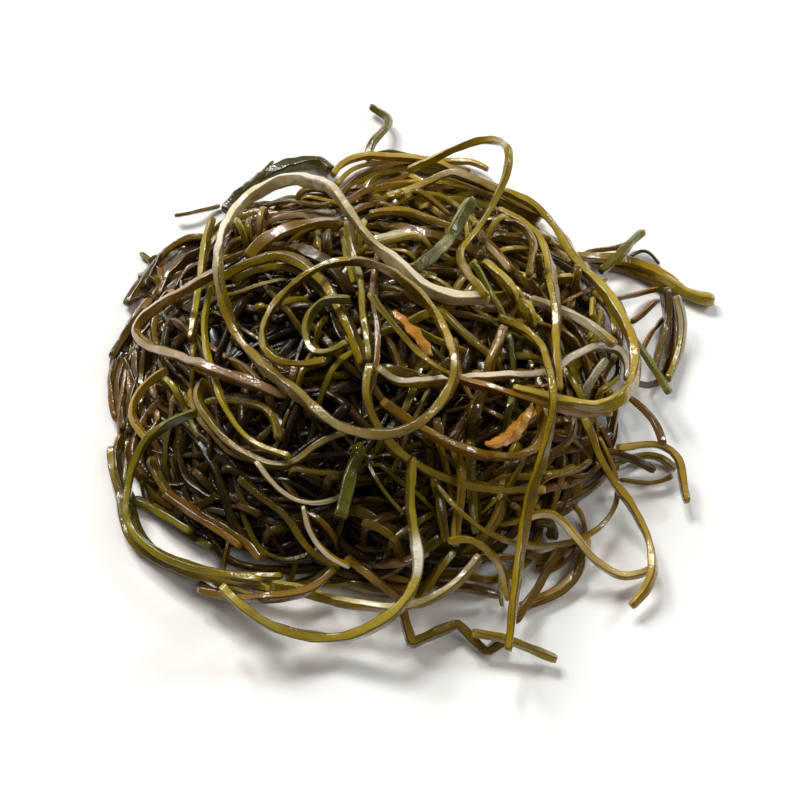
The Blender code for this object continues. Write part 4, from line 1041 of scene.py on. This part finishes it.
# Each look: the skin in three tones, the flesh that the cuts show in two, and what else differs.
looks = {
    "dark": dict(skin=(0.040, 0.022, 0.003), skinOther=(0.062, 0.036, 0.005), skinDeep=(0.012, 0.006, 0.001),
                 flesh=(0.085, 0.055, 0.012), fleshOther=(0.13, 0.088, 0.024), coat=0.7),
    "deepGreen": dict(skin=(0.040, 0.034, 0.003), skinOther=(0.070, 0.055, 0.005),
                      skinDeep=(0.014, 0.010, 0.001),
                      flesh=(0.085, 0.070, 0.015), fleshOther=(0.12, 0.10, 0.028), coat=0.6),
    "brown": dict(skin=(0.095, 0.050, 0.006), skinOther=(0.14, 0.080, 0.009), skinDeep=(0.030, 0.012, 0.002),
                  flesh=(0.17, 0.100, 0.024), fleshOther=(0.25, 0.160, 0.050)),
    "olive": dict(skin=(0.135, 0.092, 0.004), skinOther=(0.19, 0.135, 0.006), skinDeep=(0.045, 0.027, 0.002),
                  flesh=(0.26, 0.192, 0.028), fleshOther=(0.36, 0.285, 0.062)),
    "yellowOlive": dict(skin=(0.23, 0.155, 0.005), skinOther=(0.31, 0.215, 0.008),
                        skinDeep=(0.09, 0.05, 0.003),
                        flesh=(0.34, 0.265, 0.050), fleshOther=(0.44, 0.35, 0.100)),
    "green": dict(skin=(0.098, 0.088, 0.004), skinOther=(0.15, 0.137, 0.008), skinDeep=(0.030, 0.027, 0.002),
                  flesh=(0.20, 0.178, 0.032), fleshOther=(0.29, 0.260, 0.065)),
    "pale": dict(skin=(0.26, 0.175, 0.010), skinOther=(0.34, 0.25, 0.025), skinDeep=(0.10, 0.06, 0.006),
                 flesh=(0.64, 0.57, 0.37), fleshOther=(0.78, 0.71, 0.52), streak=0.35),
    # a painted sheen: pale grey where a wet face mirrors the light, not a colour of the kelp
    "silver": dict(skin=(0.38, 0.34, 0.20), skinOther=(0.58, 0.56, 0.42), skinDeep=(0.12, 0.09, 0.03),
                   flesh=(0.58, 0.54, 0.38), fleshOther=(0.80, 0.79, 0.68), rough=(0.12, 0.25), crinkle=1.3,
                   streak=0.3),
    "rosy": dict(skin=(0.15, 0.075, 0.012), skinOther=(0.22, 0.12, 0.03), skinDeep=(0.05, 0.020, 0.004),
                 flesh=(0.31, 0.215, 0.105), fleshOther=(0.41, 0.31, 0.175)),
    "amber": dict(skin=(0.25, 0.150, 0.010), skinOther=(0.34, 0.215, 0.018), skinDeep=(0.08, 0.036, 0.003),
                  flesh=(0.33, 0.225, 0.050), fleshOther=(0.42, 0.31, 0.090)),
    "redBrown": dict(skin=(0.17, 0.034, 0.003), skinOther=(0.12, 0.040, 0.005), skinDeep=(0.05, 0.010, 0.001),
                     flesh=(0.32, 0.17, 0.050), fleshOther=(0.42, 0.26, 0.090)),
    "peach": dict(skin=(0.40, 0.20, 0.045), skinOther=(0.52, 0.30, 0.10), skinDeep=(0.20, 0.08, 0.012),
                  flesh=(0.48, 0.27, 0.085), fleshOther=(0.62, 0.42, 0.19)),
    # the pale cut face, and on the great hoop's first end a painted sheen
    "cream": dict(skin=(0.56, 0.48, 0.25), skinOther=(0.66, 0.59, 0.35), skinDeep=(0.22, 0.16, 0.05),
                  flesh=(0.74, 0.68, 0.46), fleshOther=(0.85, 0.80, 0.61), streak=0.35, rim=0.9),
}
surfaceCommon = dict(rough=(0.20, 0.36), soft=0.35, rim=0.75, streak=0.5, crinkle=0.6, coat=1.0,
                     darkest=0.72, lightest=1.20)
looks = {name: {**surfaceCommon, **look} for name, look in looks.items()}

groups = {"section": makeSectionGroup(), "tone": makeToneGroup(), "wet": makeWetGroup()}
kelp = {}
print("looks mixed")


# the material of a look, or of one look that passes into another
def kelpOf(look, other=None):
    key = (look, other or look)
    if key not in kelp:
        kelp[key] = makeKelp("kelp " + " ".join(dict.fromkeys(key)), looks[look], looks[key[1]], groups)
    return kelp[key]


# one strip's mesh, with what changes along it
def dressStrip(line, roll, shred, draw):
    given = {key: shred[key] for key in ("swell", "thin", "ragged", "sharp") if key in shred}
    strip = stripMesh(line, roll, shred["width"] / 1000, draw, **given)
    # how much painted shade the strip gets in the hollows
    strip["dimmed"] = shred.get("dimmed", 0.6)
    if "blend" in shred:
        shares, amounts = zip(*shred["blend"])
        strip["blend"] = np.interp(strip["share"], shares, amounts)
    return strip


heap = Heap()
draw = random.Random(3)
for shred in namedShreds:
    shred = {**shred, **changes.get(shred["node"], {})}
    line, roll = heap.lay(shred)
    piece = makePiece(shred["node"] + "_strip", [dressStrip(line, roll, shred, draw)],
                      kelpOf(shred["look"], shred.get("into")), draw)
    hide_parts(shred["node"])
print("named shreds laid")

extraStrips = {}
for shred in extraShreds:
    line, roll = heap.layUnder(shred)
    strips = extraStrips.setdefault((shred["node"], shred["look"], shred.get("into")), [])
    # shreds measured under the others get more painted shade in the hollows than the named ones
    strips.append(dressStrip(line, roll, {"dimmed": 1.3, **shred}, draw))
for (node, look, into), strips in extraStrips.items():
    piece = makePiece(f"{node}_{look}_{into or 'more'}", strips, kelpOf(look, into), draw)
    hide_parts(node)
print("measured shreds laid under them")


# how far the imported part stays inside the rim, by direction
def pulledIn(angle):
    return np.interp(np.degrees(angle), *zip(*fillShreds["pulledIn"]))


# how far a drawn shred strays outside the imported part
def straying(plan):
    spots = (plan - fillShreds["centre"]) / (dome["halfWidth"], dome["halfDepth"])
    limit = 1 - pulledIn(np.arctan2(spots[:, 1], spots[:, 0]))
    return max(0.0, (np.linalg.norm(spots, axis=1) - limit).max())


# a drawn route over the heap, in shares of its half-width and half-depth; near the rim it turns back
def fillRoute(draw, long):
    angle, away = draw.uniform(0, 2 * math.pi), 0.85 * math.sqrt(draw.uniform(0, 1))
    spot = np.array((away * math.cos(angle), away * math.sin(angle)))
    heading, bend = draw.uniform(0, 2 * math.pi), draw.choice((-1, 1)) * draw.uniform(0.2, 2.2)
    swing, beat, phase = draw.uniform(0, 3), draw.uniform(3, 8), draw.uniform(0, 6)
    turn = draw.uniform(4, 9)
    leash = draw.uniform(*fillShreds["reach"]) - 0.7 / turn
    stride = fillShreds["stride"]
    points = []
    for step in range(int(long * draw.uniform(*fillShreds["length"]) / stride)):
        points.append(spot)
        facing = np.array((math.cos(heading), math.sin(heading)))
        distance = np.linalg.norm(spot)
        atRim = distance > leash - pulledIn(math.atan2(spot[1], spot[0]))
        if atRim and np.dot(spot, facing) > -0.4 * distance:
            way = 1 if facing[0] * -spot[1] + facing[1] * spot[0] > 0 else -1
            heading += way * turn * stride
        else:
            heading += (bend + swing * math.cos(beat * stride * step + phase)) * stride
        spot = spot + stride * facing
    plan = np.array(fillShreds["centre"]) + np.array(points) * (dome["halfWidth"], dome["halfDepth"])
    return evenSteps(smoothRoute(plan, 6), 0.0018)[1]


def drawLook(kind, draw):
    return draw.choice([name for name, share in mixes[kind] for _ in range(share)])


# How many shares of each look are drawn: on top at the lit side, on top elsewhere, deep in the pile,
# and between. The lit side draws lighter looks, as painted light, and the deep and between ones darker looks,
# as painted shade.
mixes = {
    "lit": (("olive", 5), ("yellowOlive", 5), ("brown", 3), ("green", 2), ("rosy", 1), ("amber", 3)),
    "top": (("olive", 6), ("yellowOlive", 1), ("brown", 6), ("dark", 3), ("green", 2), ("rosy", 1),
            ("amber", 1)),
    "deep": (("brown", 4), ("dark", 4), ("olive", 2)),
    "between": (("brown", 5), ("dark", 5), ("olive", 3)),
}
strips = {}
draw = random.Random(fillShreds["seed"])
pile, cover = Heap(), Cover()
for number in range(fillShreds["count"]):
    long = 1 - fillShreds["shorter"] * number / fillShreds["count"]
    routes = [fillRoute(draw, long) for _ in range(fillShreds["draws"])]
    plan = max(routes, key=lambda route: cover.lack(route) - fillShreds["strayCost"] * straying(route))
    width = draw.uniform(*fillShreds["width"]) / 1000
    roll = draw.uniform(0.3, 1.5) + 0.5 * np.sin(np.arange(len(plan)) * 0.12 + draw.uniform(0, 6))
    line = pile.rest(plan, width, roll, pileTop(plan), heap)
    if line is None:
        continue
    cover.mark(plan, line[:, 2] + width * 0.4)
    # shreds deep in the pile draw darker looks, as painted shade
    deep = (pileTop(plan) - line[:, 2]).mean() > fillShreds["top"]
    # the side the light comes from: shreds there draw lighter looks and are made lighter, as painted light
    lit = plan[:, 0].mean() + 0.4 * plan[:, 1].mean() > fillShreds["litFrom"]
    look = drawLook("deep" if deep else "lit" if lit else "top", draw)
    strip = stripMesh(line, roll, width, draw, 0.0018 if deep else 0.0013, 1 if deep else 2)
    strip.update(dimmed=fillShreds["dimmed"], deeper=-fillShreds["lighter"] if lit else 0)
    strips.setdefault(look, []).append(strip)
for _ in range(fillShreds["between"]):
    routes = [fillRoute(draw, fillShreds["betweenLong"]) for _ in range(fillShreds["betweenDraws"])]
    plan = min(routes, key=straying)
    width = draw.uniform(*fillShreds["width"]) / 1000
    beat = np.arange(len(plan)) * draw.uniform(0.06, 0.14) + draw.uniform(0, 6)
    depth = draw.uniform(*fillShreds["depth"]) + fillShreds["dip"] * np.sin(beat)
    level = np.maximum(pileTop(plan) - depth, fillShreds["lowest"])
    roll = draw.uniform(0.3, 1.5) + 0.5 * np.sin(beat * 1.7)
    strip = stripMesh(np.column_stack([plan, level]), roll, width, draw, 0.0018, 2)
    # shreds run between, deep in the pile, are darkened as painted shade
    strip.update(dimmed=fillShreds["dimmed"], deeper=fillShreds["deeper"])
    strips.setdefault(drawLook("between", draw), []).append(strip)
print("piled shreds", {name: len(several) for name, several in strips.items()})
perPiece = fillShreds["perPiece"]
for name, several in strips.items():
    for start in range(0, len(several), perPiece):
        some = several[start:start + perPiece]
        piece = makePiece(f"piled_{name}_{start // perPiece + 1}", some, kelpOf(name), draw)
        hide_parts("tangle")


# The imported middle, which blocks the light under the shreds. Its near-black colour is painted shade for the
# gaps between them. It lies this far under the heap's top.
core = {
    "reach": 0.76, "under": 0.0105, "lumps": 0.0012, "rings": 26, "spokes": 72, "lowest": 0.0006,
    "colour": (0.004, 0.0025, 0.001), "mottle": (0.012, 0.007, 0.002), "roughness": 0.8,
}


def makeCore():
    points, faces = [], []
    for ring in range(core["rings"] + 1):
        reach = core["reach"] * ring / core["rings"]
        for spoke in range(core["spokes"]):
            angle = 2 * math.pi * spoke / core["spokes"]
            share = reach * (rimReach(angle) - pulledIn(math.remainder(angle, 2 * math.pi)))
            x = dome["centre"][0] + share * math.cos(angle) * dome["halfWidth"]
            y = dome["centre"][1] + share * math.sin(angle) * dome["halfDepth"]
            lump = core["lumps"] * math.sin(900 * x) * math.sin(800 * y)
            z = float(heapTop(x, y)) - core["under"] + lump
            points.append((x, y, max(z, core["lowest"])))
    for ring in range(core["rings"]):
        for spoke in range(core["spokes"]):
            n = (spoke + 1) % core["spokes"]
            a, b = ring * core["spokes"], (ring + 1) * core["spokes"]
            faces.append((a + spoke, b + spoke, b + n, a + n))
    edge = core["rings"] * core["spokes"]
    base = len(points)
    for spoke in range(core["spokes"]):
        x, y, _ = points[edge + spoke]
        points.append((x, y, 0))
    for spoke in range(core["spokes"]):
        n = (spoke + 1) % core["spokes"]
        faces.append((edge + spoke, base + spoke, base + n, edge + n))
    faces.append(tuple(base + k for k in reversed(range(core["spokes"]))))
    uvs = [(0.0, 0.1)] * sum(len(face) for face in faces)
    return dict(points=np.array(points), faces=faces, uvs=uvs)


# a near-black, mottled, unshiny material: painted shade for the gaps between shreds
def makeShadeCore():
    material = bpy.data.materials.new("painted shade core")
    material.use_nodes = True
    tree = material.node_tree
    surface = tree.nodes["Principled BSDF"]
    place = tree.nodes.new("ShaderNodeTexCoord").outputs["Object"]
    mottle = ramp(tree, noise(tree, place, 420, 3), 0.4, 0.65)
    tree.links.new(mixColour(tree, mottle, core["colour"], core["mottle"]), surface.inputs["Base Color"])
    surface.inputs["Roughness"].default_value = core["roughness"]
    surface.inputs["Specular IOR Level"].default_value = 0.0
    return material


piece = makePiece("tangle_core", [makeCore()], makeShadeCore(), draw)
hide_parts("tangle")
print("core made")


# The floor, a little under the heap's lowest points.
floorLook = {"size": 12.0, "height": -0.0002, "colour": (0.88, 0.87, 0.855), "roughness": 0.7}
bpy.ops.mesh.primitive_plane_add(size=floorLook["size"], location=(0, 0, floorLook["height"]))
floor = bpy.context.object
floor.name = "floor"
paper = bpy.data.materials.new("floor")
paper.use_nodes = True
paperSurface = paper.node_tree.nodes["Principled BSDF"]
paperSurface.inputs["Base Color"].default_value = (*floorLook["colour"], 1)
paperSurface.inputs["Roughness"].default_value = floorLook["roughness"]
floor.data.materials.append(paper)

# A large soft window lights the heap, the room fills in, and two bright panes give the wet glints.
lights = {
    "window": {"place": (-1.4, 1.7, 2.0), "size": (0.75, 1.0), "power": 66, "colour": (1.0, 0.98, 0.94)},
    "room": {"place": (1.5, -0.5, 2.2), "size": (1.8, 1.8), "power": 22, "colour": (1.0, 0.95, 0.88),
             "mirrored": False},
    "pane": {"place": (-0.5, 1.6, 1.9), "size": (0.35, 0.45), "power": 26, "colour": (0.97, 0.985, 1.0)},
    "side pane": {"place": (1.6, 0.9, 1.2), "size": (0.25, 0.5), "power": 14, "colour": (0.86, 0.94, 1.0)},
}
surroundings = {"colour": (1.0, 0.93, 0.84), "strength": 0.12}


def addLight(name, place, size, power, colour, mirrored=True):
    light = bpy.data.lights.new(name, "AREA")
    light.shape = "RECTANGLE"
    light.size, light.size_y = size
    light.energy = power
    light.color = colour
    lamp = bpy.data.objects.new(name, light)
    lamp.location = place
    lamp.visible_glossy = mirrored
    lamp.rotation_mode = "QUATERNION"
    lamp.rotation_quaternion = (-Vector(place)).to_track_quat("-Z", "Y")
    bpy.context.scene.collection.objects.link(lamp)


for name, light in lights.items():
    addLight(name, **light)
world = bpy.context.scene.world or bpy.data.worlds.new("world")
bpy.context.scene.world = world
world.use_nodes = True
background = world.node_tree.nodes["Background"]
background.inputs["Color"].default_value = (*surroundings["colour"], 1)
background.inputs["Strength"].default_value = surroundings["strength"]
bpy.context.scene.view_settings.view_transform = "Standard"
print("floor and lights made")

# The camera, from where the routes were measured.
sensor = {"width": 36, "clipStart": 0.01}
slant = math.radians(measured["elevation"])
camera = bpy.data.objects.new("camera", bpy.data.cameras.new("camera"))
camera.data.sensor_width = sensor["width"]
camera.data.lens = sensor["width"] * measured["focal"] / measured["frame"]
camera.data.clip_start = sensor["clipStart"]
camera.location = (0, -measured["distance"] * math.cos(slant), measured["distance"] * math.sin(slant))
pitch = math.atan((measured["frame"] / 2 - measured["centre"][1]) / measured["focal"])
camera.rotation_euler = (math.pi / 2 - slant - pitch, 0, 0)
bpy.context.scene.collection.objects.link(camera)
bpy.context.scene.camera = camera
print("camera set")
